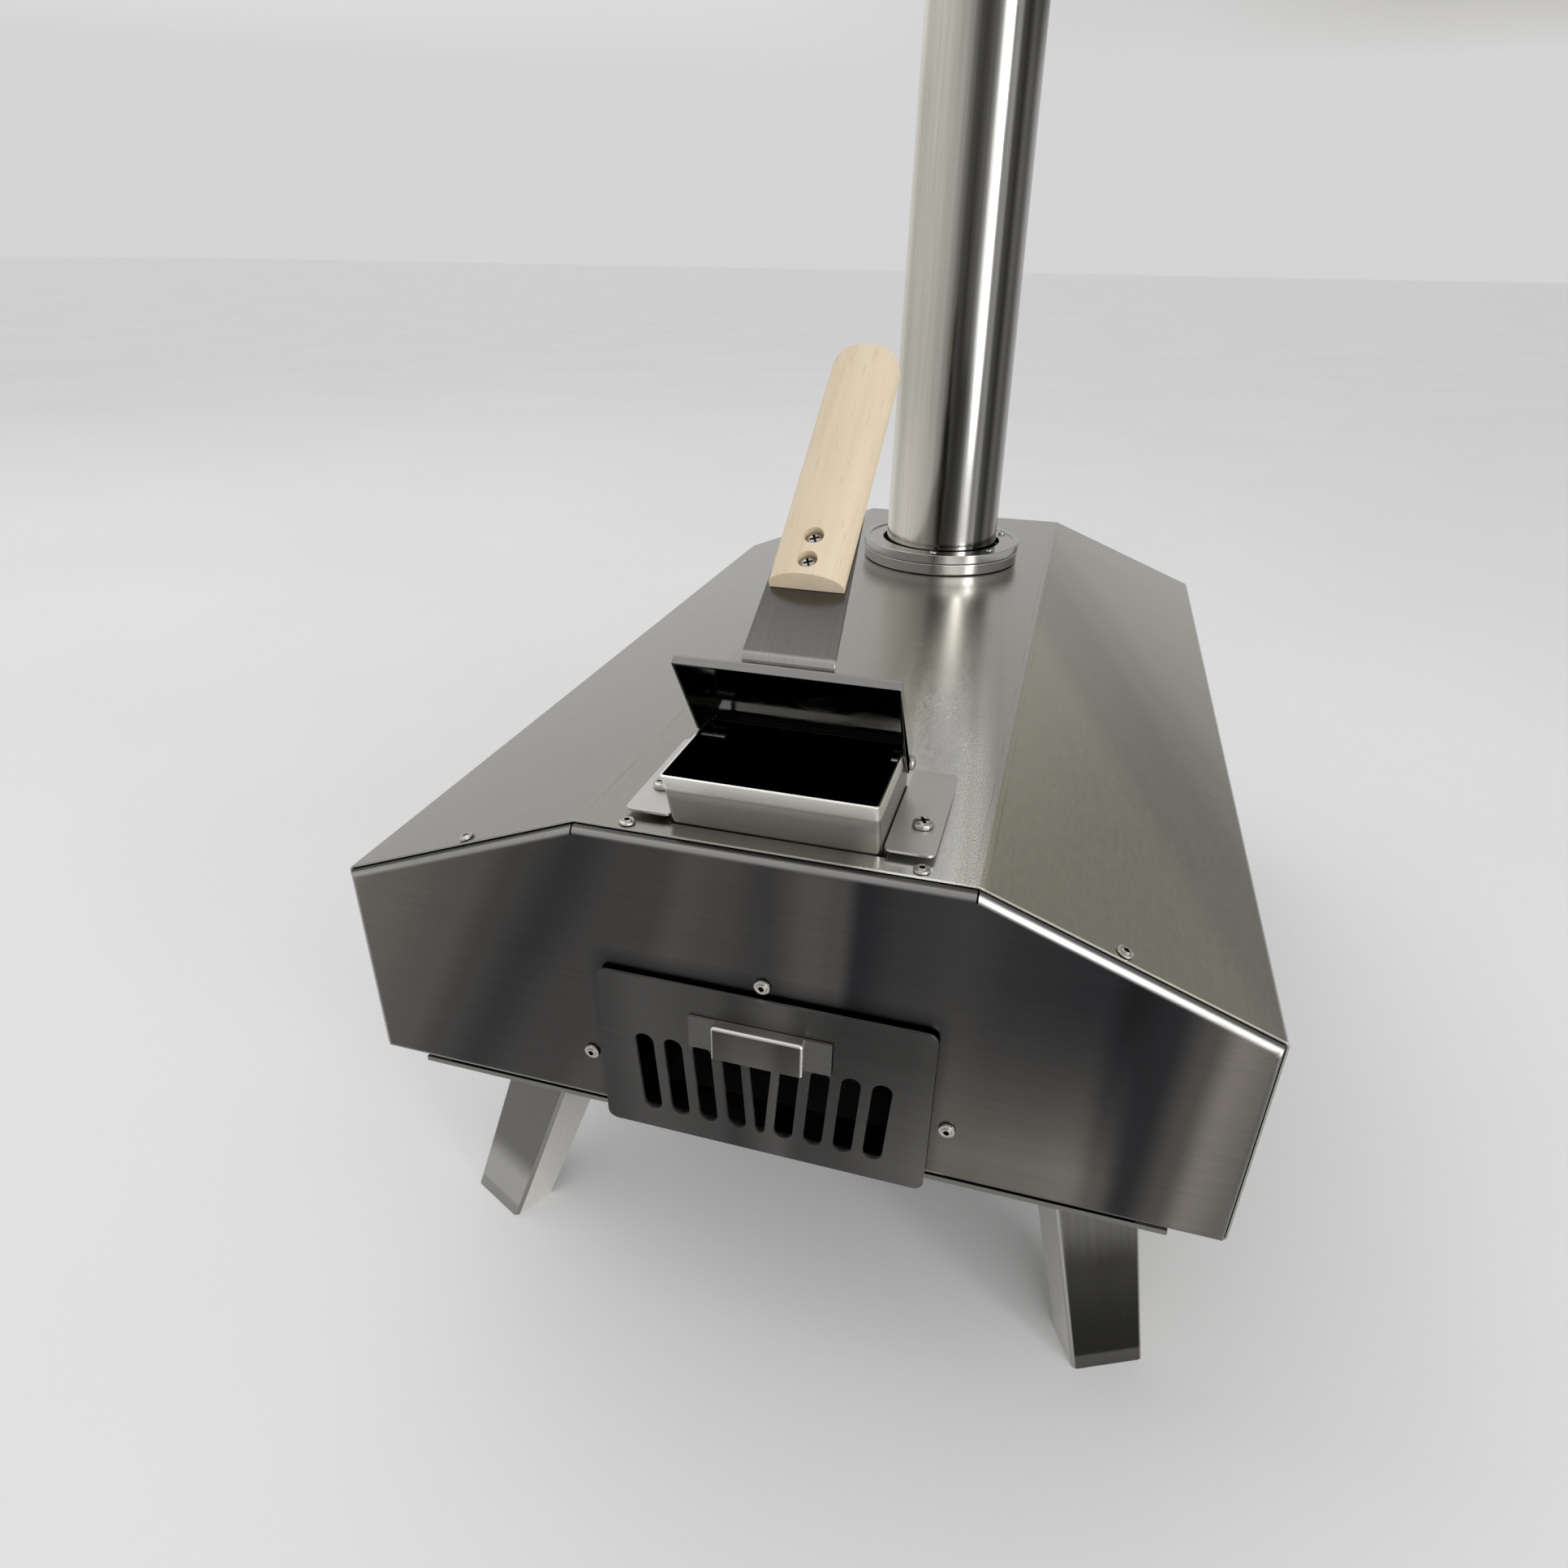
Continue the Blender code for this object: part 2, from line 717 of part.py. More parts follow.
def make_hatch_handle(frame):
    """Pressed pull: two ears on the plate and a box between them, open below."""
    back = hatch_front - touch_gap
    front = back - pull_depth + touch_gap
    box_half = pull_box_width / 2
    high = pull_low + pull_height
    ears = prism("hatch_handle", [(-pull_ear_reach, pull_low), (pull_ear_reach, pull_low),
                                  (pull_ear_reach, high), (-pull_ear_reach, high)],
                 "Y", back - pull_sheet, back)
    box = block("pull_box", (-box_half, front, pull_low), (box_half, back, high))
    combine(ears, box, "UNION")
    room = block("finger_room", (-box_half + pull_sheet, front + pull_sheet, pull_low - cut_overrun),
                 (box_half - pull_sheet, back + touch_gap / 3, high - pull_sheet))
    combine(ears, room)
    return finish(ears, STEEL, 0.35, 1.0, frame)


def make_burner_tray(frame):
    """Open tray behind the hatch that holds the grate and catches the ash."""
    half = tray_width / 2
    start = hatch_back + touch_gap
    low = tray_base_height
    path = [(half, low + tray_height), (half, low), (-half, low), (-half, low + tray_height)]
    tray = prism("burner_tray", sheet_outline(path[::-1], sheet), "Y", start, start + tray_length)
    return finish(tray, STEEL, 0.4, 1.0, frame)


def make_tray_cradle(frame):
    """Folded channel on the bottom cover whose two ledges the tray slides on."""
    low = cover_top + touch_gap
    high = tray_base_height - touch_gap
    web = tray_width / 2 + tray_cradle_clearance
    right = [(web - tray_cradle_ledge, high), (web, high), (web, low)]
    path = [(-across, height) for across, height in right] + right[::-1]
    cradle = prism("tray_cradle", sheet_outline(path, sheet), "Y", panel_flange_depth + touch_gap * 2,
                   floor_rear - touch_gap * 2)
    return finish(cradle, STEEL, 0.45, 1.0, frame)


def make_fuel_grate(frame):
    """Bridge over the tray that the pellets burn on, with slots for the air."""
    low = tray_base_height + sheet + touch_gap
    high = low + grate_height
    flat_start = grate_start + grate_slope_run
    flat_end = flat_start + grate_flat_length
    path = [(grate_start, low), (flat_start, high), (flat_end, high), (flat_end + grate_slope_run, low)]
    half = grate_width / 2
    grate = prism("fuel_grate", sheet_outline(path, sheet), "X", -half, half)
    middle = (flat_start + flat_end) / 2
    first = -(grate_slot_count - 1) / 2
    for index in range(grate_slot_count):
        across = (first + index) * grate_slot_pitch
        combine(grate, block("grate_slot", (across - grate_slot_width / 2, middle - grate_slot_length / 2,
                                            high - sheet - cut_overrun),
                             (across + grate_slot_width / 2, middle + grate_slot_length / 2,
                              high + cut_overrun)))
    return finish(grate, STEEL, 0.45, 1.0, frame)


def chute_line(height):
    """Place of the chute's rear wall, outer side, at a height."""
    bend_height = chute_rim_height - chute_bend_drop
    bend_place = chute_near_rim + chute_lip_run
    if height > bend_height:
        return bend_place - (height - bend_height) / chute_bend_drop * chute_lip_run
    return bend_place + (bend_height - height) * chute_slope


def make_hopper_chute(frame):
    """Leaning four-sided funnel with a flared lip, from the rim down to the grate."""
    heights = (chute_rim_height, chute_rim_height - chute_bend_drop, chute_foot_height)
    wall = sheet / math.cos(math.radians(chute_lean))
    near = [(chute_line(height), height) for height in heights]
    far = [(chute_line(height) + chute_depth, height) for height in heights]
    chute = prism("hopper_chute", near + far[::-1], "X", -chute_half_width, chute_half_width)
    top, bottom = chute_rim_height + cut_overrun, chute_foot_height - cut_overrun
    inner_heights = (top, chute_rim_height - chute_bend_drop, bottom)
    near = [(chute_line(height) + wall, height) for height in inner_heights]
    far = [(chute_line(height) + chute_depth - wall, height) for height in inner_heights]
    inner_half = chute_half_width - sheet
    combine(chute, prism("chute_room", near + far[::-1], "X", -inner_half, inner_half))
    tool_radius = lid_pin_radius + touch_gap
    combine(chute, rod("pin_hole", tool_radius, lid_pivot - Vector((chute_width, 0, 0)),
                       lid_pivot + Vector((chute_width, 0, 0))))
    return finish(chute, STEEL, 0.3, 1.0, frame)


def make_hopper_flanges(frame):
    """Side plates that float above the top and reach down beside the chute."""
    low = roof_height + flange_lift
    high = low + sheet
    inner = chute_half_width + lid_side_clearance
    outer = inner + flange_reach
    leg_start = chute_line(roof_height) + flange_leg_near_gap
    for name, side in (("hopper_flange_left", -1), ("hopper_flange_right", 1)):
        first, last = sorted((side * inner, side * outer))
        outline = rounded_rectangle((first, flange_near), (last, flange_near + flange_length),
                                    flange_corner_radius)
        plate = prism(name, outline, "Z", low, high)
        first, last = sorted((side * inner, side * (inner + sheet)))
        leg = block("flange_leg", (first, leg_start, roof_height - flange_leg_drop),
                    (last, leg_start + flange_leg_length, high - touch_gap / 3))
        combine(plate, leg, "UNION")
        place = (side * flange_screw_spacing / 2, flange_screw_place)
        radius = flange_screw_shank_radius + screw_hole_clearance
        combine(plate, rod("screw_hole", radius, (*place, low - cut_overrun), (*place, high + cut_overrun)))
        finish(plate, STEEL, 0.3, 1.0, frame)


def make_flange_screws(frame):
    """Pan-head screws through the flange plates into the shell."""
    base_height = roof_height + flange_lift + sheet + touch_gap
    for name, side in (("flange_screw_left", -1), ("flange_screw_right", 1)):
        item = screw(name, flange_screw_radius, flange_screw_height, flange_screw_shank_radius,
                     flange_lift + sheet)
        set_fastener(item, (side * flange_screw_spacing / 2, flange_screw_place, base_height),
                     (0, 0, 1), frame)


def make_hinge_pins(frame):
    """Screws through the chute's sides that the lid swings on."""
    for name, side in (("hinge_pin_left", -1), ("hinge_pin_right", 1)):
        head_base = lid_pivot + Vector((side * (lid_half_width + touch_gap), 0, 0))
        length = lid_half_width + touch_gap - chute_half_width + sheet + lid_pin_inside
        pin = screw(name, lid_pin_head_radius, lid_pin_head_height, lid_pin_radius, length)
        set_fastener(pin, head_base, (side, 0, 0), frame)


def make_hopper_lid(hinge):
    """Shallow pan with deepening side ears, drawn closed about its hinge line."""
    near_low = lid_plate_high - lid_skirt
    ear = arc((0, 0), lid_ear_radius, 40, -90, bend_steps * 2)
    outline = [(lid_free_edge, lid_plate_high), (lid_free_edge, near_low),
               (-lid_ear_reach, -lid_ear_drop)] + ear[::-1] + [(lid_tail, near_low),
                                                              (lid_tail, lid_plate_high)]
    lid = prism("hopper_lid", outline, "X", -lid_half_width, lid_half_width)
    deep = -lid_ear_reach * 2
    far = lid_ear_reach * 2
    room = [(lid_free_edge + sheet, lid_plate_low), (lid_free_edge + sheet, deep), (far, deep),
            (far, near_low), (lid_tail - sheet, near_low), (lid_tail - sheet, lid_plate_low)]
    half = lid_half_width - sheet
    combine(lid, prism("lid_room", room, "X", -half, half))
    radius = lid_pin_radius + lid_pin_hole_clearance
    combine(lid, rod("pin_hole", radius, (-body_width, 0, 0), (body_width, 0, 0)))
    return finish(lid, STEEL, 0.3, 1.0, hinge)


def strap_line():
    """Start and direction of the strap's straight part, on its handle side."""
    angle = math.radians(strap_rise_angle)
    along = Vector((0, math.cos(angle), math.sin(angle)))
    centre = Vector((0, lid_free_edge + strap_base_setback, strap_base_height() + strap_bend_radius))
    outward = Vector((0, -math.sin(angle), math.cos(angle)))
    return centre + outward * strap_bend_radius, along, outward


def strap_base_height():
    return lid_plate_high + touch_gap


def make_lid_strap(hinge):
    """Strap bent up from the lid, which narrows towards the wooden handle."""
    start, along, outward = strap_line()
    base = strap_base_height()
    bend_centre = (lid_free_edge + strap_base_setback, base + strap_bend_radius)
    bend = arc(bend_centre, strap_bend_radius, -90, strap_rise_angle - 270, bend_steps * 2)
    neck = start + along * strap_free_length
    end = neck + along * strap_under_handle
    path = [(bend_centre[0] + strap_base_length, base)] + bend + [(neck.y, neck.z), (end.y, end.z)]
    half = strap_width / 2
    strap = prism("lid_strap", sheet_outline(path[::-1], strap_sheet), "X", -half, half)
    limit = (start + along * strap_free_length / 2 - Vector((0, 0, 0))).dot(along)
    for corner in strap.data.vertices:
        if corner.co.z > base + strap_bend_radius * 2 and corner.co.dot(along) > limit:
            corner.co.x = math.copysign(strap_end_width / 2, corner.co.x)
    radius = handle_screw_shank_radius + screw_hole_clearance
    for run in lid_screw_runs():
        place = neck + along * run
        combine(strap, rod("bore", radius, place - outward * handle_thickness,
                           place + outward * handle_thickness))
    return finish(strap, STEEL, 0.35, 1.0, hinge)


def handle_profile():
    """Half-round section: flat back, short flanks and an arched front."""
    half = handle_width / 2
    flank = handle_thickness * handle_flank_share
    points = [(-half, 0), (-half, flank)]
    for step in range(1, handle_arc_steps):
        angle = math.pi * (1 - step / handle_arc_steps)
        points.append((half * math.cos(angle), flank + (handle_thickness - flank) * math.sin(angle)))
    return points + [(half, flank), (half, 0)]


def grip_end(length):
    """Plan outline round a grip's far end, from beyond its right side to beyond its left."""
    centre = (handle_width / 2 - handle_end_radius, length - handle_end_radius)
    corner = arc(centre, handle_end_radius, handle_end_start_angle, 90, bend_steps * 2)
    side = handle_width / 2 + cut_overrun
    first = corner[0]
    run = (side - first[0]) / math.tan(math.radians(handle_end_start_angle))
    right = [(side, first[1] - run)] + corner
    return right + [(-across, along) for across, along in right[::-1]]


def wooden_grip(name, length, both_ends, screw_runs):
    """Grip along Y with its back on Z = 0, rounded at its far end or at both ends."""
    far = grip_end(length)
    side = far[0][0]
    if both_ends:
        start = -cut_overrun
        near = [(-across, length - along) for across, along in far]
    else:
        start = 0
        near = [(-side, -cut_overrun), (side, -cut_overrun)]
    high = handle_thickness + cut_overrun
    grip = prism(name, handle_profile(), "Y", start, length + cut_overrun)
    combine(grip, prism("plan", far + near, "Z", -cut_overrun, high), "INTERSECT")
    bore_radius = handle_screw_shank_radius + screw_hole_clearance
    floor = handle_thickness - counterbore_depth
    for run in screw_runs:
        combine(grip, rod("bore", bore_radius, (0, run, -cut_overrun), (0, run, high)))
        combine(grip, rod("counterbore", counterbore_radius, (0, run, floor), (0, run, high), round_steps))
    return grip


def set_grip(grip, base, along, outward, parent):
    """Lay a grip on its base point, with its length and its arched side in given directions."""
    turn = Matrix((along.cross(outward), along, outward)).transposed()
    grip.location = base
    grip.rotation_euler = turn.to_euler()
    return finish(grip, WOOD, 0.6, 0.0, parent)


def make_grip_screws(names, places, outward, backing, parent):
    """Screws whose heads sit in the counterbores and whose shanks reach through the backing."""
    seat = handle_thickness - counterbore_depth + touch_gap
    for name, place in zip(names, places):
        item = screw(name, handle_screw_radius, handle_screw_height, handle_screw_shank_radius,
                     seat + touch_gap + backing)
        set_fastener(item, place + outward * seat, outward, parent)


def lid_screw_runs():
    return [handle_screw_inset + index * handle_screw_pitch for index in range(2)]


def make_lid_handle(hinge):
    """Wooden grip, flat on the strap, with two counterbored screw holes."""
    start, along, outward = strap_line()
    neck = start + along * strap_free_length + outward * touch_gap
    grip = wooden_grip("lid_handle", lid_handle_length, False, lid_screw_runs())
    set_grip(grip, neck, along, outward, hinge)
    places = [neck + along * run for run in lid_screw_runs()]
    make_grip_screws(("lid_handle_screw_lower", "lid_handle_screw_upper"), places, outward,
                     strap_sheet, hinge)


def make_collars(frame):
    """Two stacked rings round the chimney on the top."""
    centre = (0, chimney_place, 0)
    inner = chimney_base_radius + collar_hole_clearance + lower_collar_extra_clearance
    lower = [(inner, lower_collar_low), (lower_collar_radius, lower_collar_low),
             (lower_collar_radius, lower_collar_high), (inner, lower_collar_high)]
    finish(turned("lower_collar", lower, centre, round_steps * 2), STEEL, 0.3, 1.0, frame, True)
    inner = chimney_base_radius + collar_hole_clearance
    step = upper_collar_high - collar_step_depth
    upper = [(inner, upper_collar_low), (upper_collar_radius, upper_collar_low),
             (upper_collar_radius, upper_collar_high), (collar_step_radius, upper_collar_high),
             (collar_step_radius, step), (inner, step)]
    ring = turned("upper_collar", upper, centre, round_steps * 2)
    radius = collar_screw_shank_radius + screw_hole_clearance
    for place in collar_screw_bases():
        combine(ring, rod("screw_hole", radius, place - Vector((0, 0, collar_screw_shank_length + touch_gap)),
                          place + Vector((0, 0, cut_overrun))))
    finish(ring, STEEL, 0.3, 1.0, frame, True)


def collar_screw_bases():
    height = upper_collar_high - collar_step_depth + touch_gap
    places = []
    for angle in collar_screw_angles:
        turn = math.radians(angle)
        places.append(Vector((collar_screw_place * math.cos(turn),
                              chimney_place + collar_screw_place * math.sin(turn), height)))
    return places


def make_collar_screws(frame):
    for index, place in enumerate(collar_screw_bases()):
        item = screw("collar_screw_" + str(index + 1), collar_screw_radius, collar_screw_height,
                     collar_screw_shank_radius, collar_screw_shank_length)
        set_fastener(item, place, (0, 0, 1), frame)


def make_chimney_tube(frame):
    """Slightly tapered flue that stands on the liner's roof inside the collars."""
    base, top = chimney_base_radius, chimney_top_radius
    profile = [(base - sheet, chimney_seat), (base, chimney_seat), (top, chimney_top),
               (top - sheet, chimney_top)]
    tube = turned("chimney_tube", profile, (0, chimney_place, 0), round_steps * 2)
    return finish(tube, BRIGHT_STEEL, 0.15, 1.0, frame, True)


def make_chimney_cap(frame):
    """Loose lid over the chimney's mouth, with a wooden knob on its stud."""
    centre = (0, chimney_place, 0)
    low = chimney_top + touch_gap
    taper = (chimney_base_radius - chimney_top_radius) / chimney_height
    inner = chimney_top_radius + taper * cap_skirt_depth + cap_clearance
    outer = inner + sheet
    high = low + sheet
    stud_high = high + cap_stud_length
    profile = [(0, low), (inner, low), (inner, chimney_top - cap_skirt_depth),
               (outer, chimney_top - cap_skirt_depth), (outer, high), (cap_stud_radius, high),
               (cap_stud_radius, stud_high), (0, stud_high)]
    finish(turned("chimney_cap", profile, centre, round_steps * 2), STEEL, 0.3, 1.0, frame, True)
    foot = high + touch_gap
    bore = cap_stud_radius + touch_gap
    bore_high = stud_high + touch_gap
    knob = [(0, bore_high), (bore, bore_high), (bore, foot), (knob_neck_radius, foot),
            (knob_neck_radius, foot + knob_height / 4)]
    for step in range(bend_steps * 2):
        angle = math.pi / 2 * step / (bend_steps * 2)
        knob.append((knob_radius * math.cos(angle), foot + knob_height * (1 + math.sin(angle)) / 2))
    knob.append((0, foot + knob_height))
    finish(turned("cap_knob", knob, centre, small_round_steps * 2), WOOD, 0.6, 0.0, frame, True)


def make_front_door(frame):
    """Door plate over the mouth, with a plug rim that reaches into it."""
    half = mouth_half_width + door_overlap
    low = mouth_sill_height - door_overlap
    high = mouth_sill_height + mouth_height + door_overlap
    back = body_length + touch_gap
    outline = rounded_rectangle((-half, low), (half, high), door_corner_radius)
    door = prism("front_door", outline, "Y", back, back + door_sheet)
    plug_half = mouth_half_width - door_plug_clearance
    plug_low = mouth_sill_height + door_plug_clearance
    plug_high = mouth_sill_height + mouth_height - door_plug_clearance
    plug = prism("plug", rounded_rectangle((-plug_half, plug_low), (plug_half, plug_high),
                                           door_corner_radius - door_plug_clearance),
                 "Y", back - door_plug_depth, back + door_sheet / 2)
    inner = (plug_half - sheet, plug_high - sheet)
    room = block("plug_room", (-inner[0], back - door_plug_depth - cut_overrun, plug_low + sheet),
                 (inner[0], back - touch_gap / 3, inner[1]))
    combine(plug, room)
    combine(door, plug, "UNION")
    return finish(door, STEEL, 0.32, 1.0, frame)


def door_face():
    return body_length + touch_gap * 2 + door_sheet


def door_bracket_high():
    return door_bracket_low + door_bracket_foot


def door_handle_back():
    return door_face() + door_bracket_reach + touch_gap


def door_screw_places():
    height = door_bracket_high() + door_bracket_upstand / 2
    half = door_handle_screw_spacing / 2
    return [Vector((side * half, door_handle_back(), height)) for side in (-1, 1)]


def make_door_bracket(frame):
    """Bent strap that holds the wooden bar off the door."""
    face = door_face()
    high = door_bracket_high()
    front = face + door_bracket_reach
    half = door_bracket_width / 2
    path = [(face, door_bracket_low), (face, high), (front - door_sheet, high),
            (front - door_sheet, high + door_bracket_upstand)]
    bracket = prism("door_bracket", sheet_outline(path, -door_sheet), "X", -half, half)
    radius = handle_screw_shank_radius + screw_hole_clearance
    for place in door_screw_places():
        combine(bracket, rod("bore", radius, place - Vector((0, handle_thickness, 0)),
                             place + Vector((0, handle_thickness, 0))))
    return finish(bracket, STEEL, 0.35, 1.0, frame)


def make_door_handle(frame):
    """Wooden bar across the door, with counterbored screw holes."""
    middle = door_handle_length / 2
    half = door_handle_screw_spacing / 2
    grip = wooden_grip("door_handle", door_handle_length, True, (middle - half, middle + half))
    along = Vector((1, 0, 0))
    outward = Vector((0, 1, 0))
    centre = Vector((0, door_handle_back(), door_bracket_high() + door_bracket_upstand / 2))
    set_grip(grip, centre - along * middle, along, outward, frame)
    make_grip_screws(("door_handle_screw_left", "door_handle_screw_right"), door_screw_places(), outward,
                     door_sheet, frame)


def leg_corners():
    """Name, pivot and turn of each leg; a turned leg leans out along its own -Y."""
    side = leg_pivot_side
    rear = leg_pivot_place
    front = body_length - leg_pivot_place
    drop = -leg_pivot_drop
    return (("rear_left", (-side, rear, drop), -leg_turn),
            ("rear_right", (side, rear, drop), leg_turn),
            ("front_left", (-side, front, drop), 180 + leg_turn),
            ("front_right", (side, front, drop), 180 - leg_turn))


def leg_point(along, across):
    """Point on a leg's side view: along it from the pivot, and across it towards its outer web."""
    lean = math.radians(leg_lean)
    return (-math.sin(lean) * along - math.cos(lean) * across,
            -math.cos(lean) * along + math.sin(lean) * across)


def leg_foot_along(across):
    """Distance along a leg at which it meets the table."""
    lean = math.radians(leg_lean)
    return (leg_height - leg_pivot_drop + math.sin(lean) * across) / math.cos(lean)


def narrow_leg(item, inset):
    """Bring a leg's two sides together evenly from its head to its foot, each moved in by an inset."""
    lean = math.radians(leg_lean)
    whole = leg_head_radius + leg_foot_along(leg_web_offset)
    for vertex in item.data.vertices:
        along = -math.sin(lean) * vertex.co.y - math.cos(lean) * vertex.co.z
        share = (leg_head_radius + along) / whole
        width = leg_width + (leg_foot_width - leg_width) * share
        vertex.co.x = math.copysign(width / 2 - inset, vertex.co.x)
    return item


def make_leg(name, hinge):
    """Folded channel, narrower and shallower toward its flat-cut foot, with a round head about its pivot."""
    free = leg_web_offset - leg_foot_depth
    head = leg_head_radius
    turn = [leg_point(along, across) for along, across in arc((0, 0), head, -90, -180, bend_steps * 2)]
    outline = [leg_point(leg_foot_along(leg_web_offset), leg_web_offset),
               leg_point(leg_foot_along(free), free)] + turn
    lean = math.radians(leg_lean)
    stop = bracket_top() - bracket_sheet - leg_stop_gap
    outline.append(leg_point(-head, (stop - math.cos(lean) * head) / math.sin(lean)))
    outline.append(leg_point((math.sin(lean) * leg_web_offset - stop) / math.cos(lean), leg_web_offset))
    half = leg_width / 2
    leg = narrow_leg(prism(name, outline, "X", -half, half), 0)
    web_inner = leg_web_offset - leg_sheet
    start = -head - cut_overrun
    end = leg_foot_along(leg_web_offset) + cut_overrun
    room = [leg_point(start, web_inner), leg_point(end, web_inner),
            leg_point(end, -leg_depth * 2), leg_point(start, -leg_depth * 2)]
    combine(leg, narrow_leg(prism("leg_room", room, "X", -half, half), leg_sheet))
    radius = leg_pin_radius + leg_pin_clearance
    combine(leg, rod("pin_hole", radius, (-leg_width, 0, 0), (leg_width, 0, 0)))
    return finish(leg, STEEL, 0.3, 1.0, hinge)


def bracket_ear_inner():
    return leg_width / 2 + bracket_side_clearance


def bracket_top():
    return leg_pivot_drop + cover_bottom - touch_gap


def make_leg_bracket(name, hinge):
    """Channel under the bottom cover whose two ears hold the leg's pin."""
    top = bracket_top()
    reach = bracket_half_length
    ear = arc((0, 0), bracket_ear_radius, 0, -180, bend_steps * 2)
    outline = [(-reach, top), (-reach, bracket_shoulder_height)] + ear[::-1] + [
        (reach, bracket_shoulder_height), (reach, top)]
    outer = bracket_ear_inner() + bracket_sheet
    bracket = prism(name, outline, "X", -outer, outer)
    inner = bracket_ear_inner()
    combine(bracket, block("bracket_room", (-inner, -reach - cut_overrun, -leg_height),
                           (inner, reach + cut_overrun, top - bracket_sheet)))
    radius = leg_pin_radius + leg_pin_clearance
    combine(bracket, rod("pin_hole", radius, (-leg_width, 0, 0), (leg_width, 0, 0)))
    return finish(bracket, STEEL, 0.35, 1.0, hinge)


def make_leg_pin(name, hinge):
    """Pin with two heads through the bracket's ears and the leg."""
    outer = bracket_ear_inner() + bracket_sheet + touch_gap
    pin = screw(name, leg_pin_head_radius, leg_pin_head_height, leg_pin_radius, outer * 2, True)
    set_fastener(pin, (outer, 0, 0), (1, 0, 0), hinge)


def make_casing(frame):
    make_outer_shell(frame)
    make_rear_panel(frame)
    make_front_panel(frame)
    make_bottom_cover(frame)
    make_casing_rivets(frame)
    make_panel_screws(frame)


def make_chamber(frame):
    make_inner_liner(frame)
    make_insulation(frame)
    make_chamber_floor(frame)
    make_baking_stone(frame)
    make_flame_baffle(frame)


def make_burner(frame):
    make_tray_cradle(frame)
    drawer = make_empty("burner_drawer_slide", parent=frame)
    make_hatch_plate(drawer)
    make_hatch_handle(drawer)
    make_burner_tray(drawer)
    make_fuel_grate(drawer)


def make_hopper(frame):
    make_hopper_chute(frame)
    make_hopper_flanges(frame)
    make_flange_screws(frame)
    make_hinge_pins(frame)
    hinge = make_empty("lid_hinge", lid_pivot, frame, (-lid_open_angle, 0, 0))
    make_hopper_lid(hinge)
    make_lid_strap(hinge)
    make_lid_handle(hinge)


def make_chimney(frame):
    make_collars(frame)
    make_collar_screws(frame)
    make_chimney_tube(frame)
    make_chimney_cap(frame)


def make_door(frame):
    door = make_empty("door_slide", parent=frame)
    make_front_door(door)
    make_door_bracket(door)
    make_door_handle(door)


def make_legs(frame):
    for corner, pivot, turn in leg_corners():
        hinge = make_empty("leg_hinge_" + corner, pivot, frame, (0, 0, turn))
        make_leg("leg_" + corner, hinge)
        make_leg_bracket("leg_bracket_" + corner, hinge)
        make_leg_pin("leg_pin_" + corner, hinge)


def main():
    clear_scene()
    frame = make_empty("body_frame", (0, -body_middle, leg_height))
    make_casing(frame)
    make_chamber(frame)
    make_burner(frame)
    make_hopper(frame)
    make_chimney(frame)
    make_door(frame)
    make_legs(frame)


main()
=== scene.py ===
"""Looks of the portable pizza oven: brushed sheet steel, a polished chimney and pale wooden grips."""
import math

import bmesh
import bpy
from bpy.props import FloatProperty, FloatVectorProperty, IntProperty, PointerProperty
from mathutils import Euler, Matrix, Vector


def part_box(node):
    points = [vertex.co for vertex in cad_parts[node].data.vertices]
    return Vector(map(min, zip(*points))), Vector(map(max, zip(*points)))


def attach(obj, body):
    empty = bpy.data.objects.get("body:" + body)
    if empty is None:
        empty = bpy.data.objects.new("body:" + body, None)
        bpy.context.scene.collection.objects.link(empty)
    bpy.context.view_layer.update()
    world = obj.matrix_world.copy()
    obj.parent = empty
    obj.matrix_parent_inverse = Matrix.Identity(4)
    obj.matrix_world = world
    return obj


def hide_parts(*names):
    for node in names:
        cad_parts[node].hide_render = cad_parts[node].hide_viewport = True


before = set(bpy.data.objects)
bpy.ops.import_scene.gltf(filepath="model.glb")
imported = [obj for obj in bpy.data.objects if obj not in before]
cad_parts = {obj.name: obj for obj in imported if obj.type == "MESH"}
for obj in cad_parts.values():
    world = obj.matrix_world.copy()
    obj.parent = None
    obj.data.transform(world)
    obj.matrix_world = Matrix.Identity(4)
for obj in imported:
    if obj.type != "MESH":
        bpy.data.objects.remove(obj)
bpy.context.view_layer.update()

bl_info = {
    "name": "Pizza oven builder",
    "version": (1, 0, 0),
    "blender": (4, 5, 0),
    "location": "View3D > Sidebar > Oven",
    "description": "Builds the finished pieces of a portable pizza oven round its frame",
    "category": "Object",
}

# The body's rear face, underside and half width, from which the oven's pieces are measured
REAR_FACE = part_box("rear_panel")[0].y
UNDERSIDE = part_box("outer_shell")[0].z
BODY_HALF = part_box("outer_shell")[1].x
HOME = Matrix.Translation((0, REAR_FACE, UNDERSIDE))

# The lid's own frame: its pivot, and its turn as it stands open
LID_PIVOT = Vector((0, 0.0620, 0.1650))
LID_OPEN = math.radians(44.5)
LID_HOME = HOME @ Matrix.Translation(LID_PIVOT) @ Matrix.Rotation(-LID_OPEN, 4, "X")

# Distances: points that are one, pieces that touch, a tool past its cut, and the rounding of a sheet's edge
MERGE = 1e-5
FIT = 0.0003
OVERRUN = 0.004
SHEET_EDGE = 0.0002

# Turns at an edge: flat enough to dissolve, a fold of a frame mesh, and sharp in shading
FLAT = math.radians(1)
SHARP = math.radians(30)
SMOOTH = math.radians(38)

# Heights of the tools that open the shell's roof, and the chimney's run from the rear face
ROOF_CUT = (0.12, 0.17)
CHIMNEY_RUN = 0.452


# Shape helpers

def level(height):
    """A height above the underside, as a place in the scene."""
    return UNDERSIDE + height


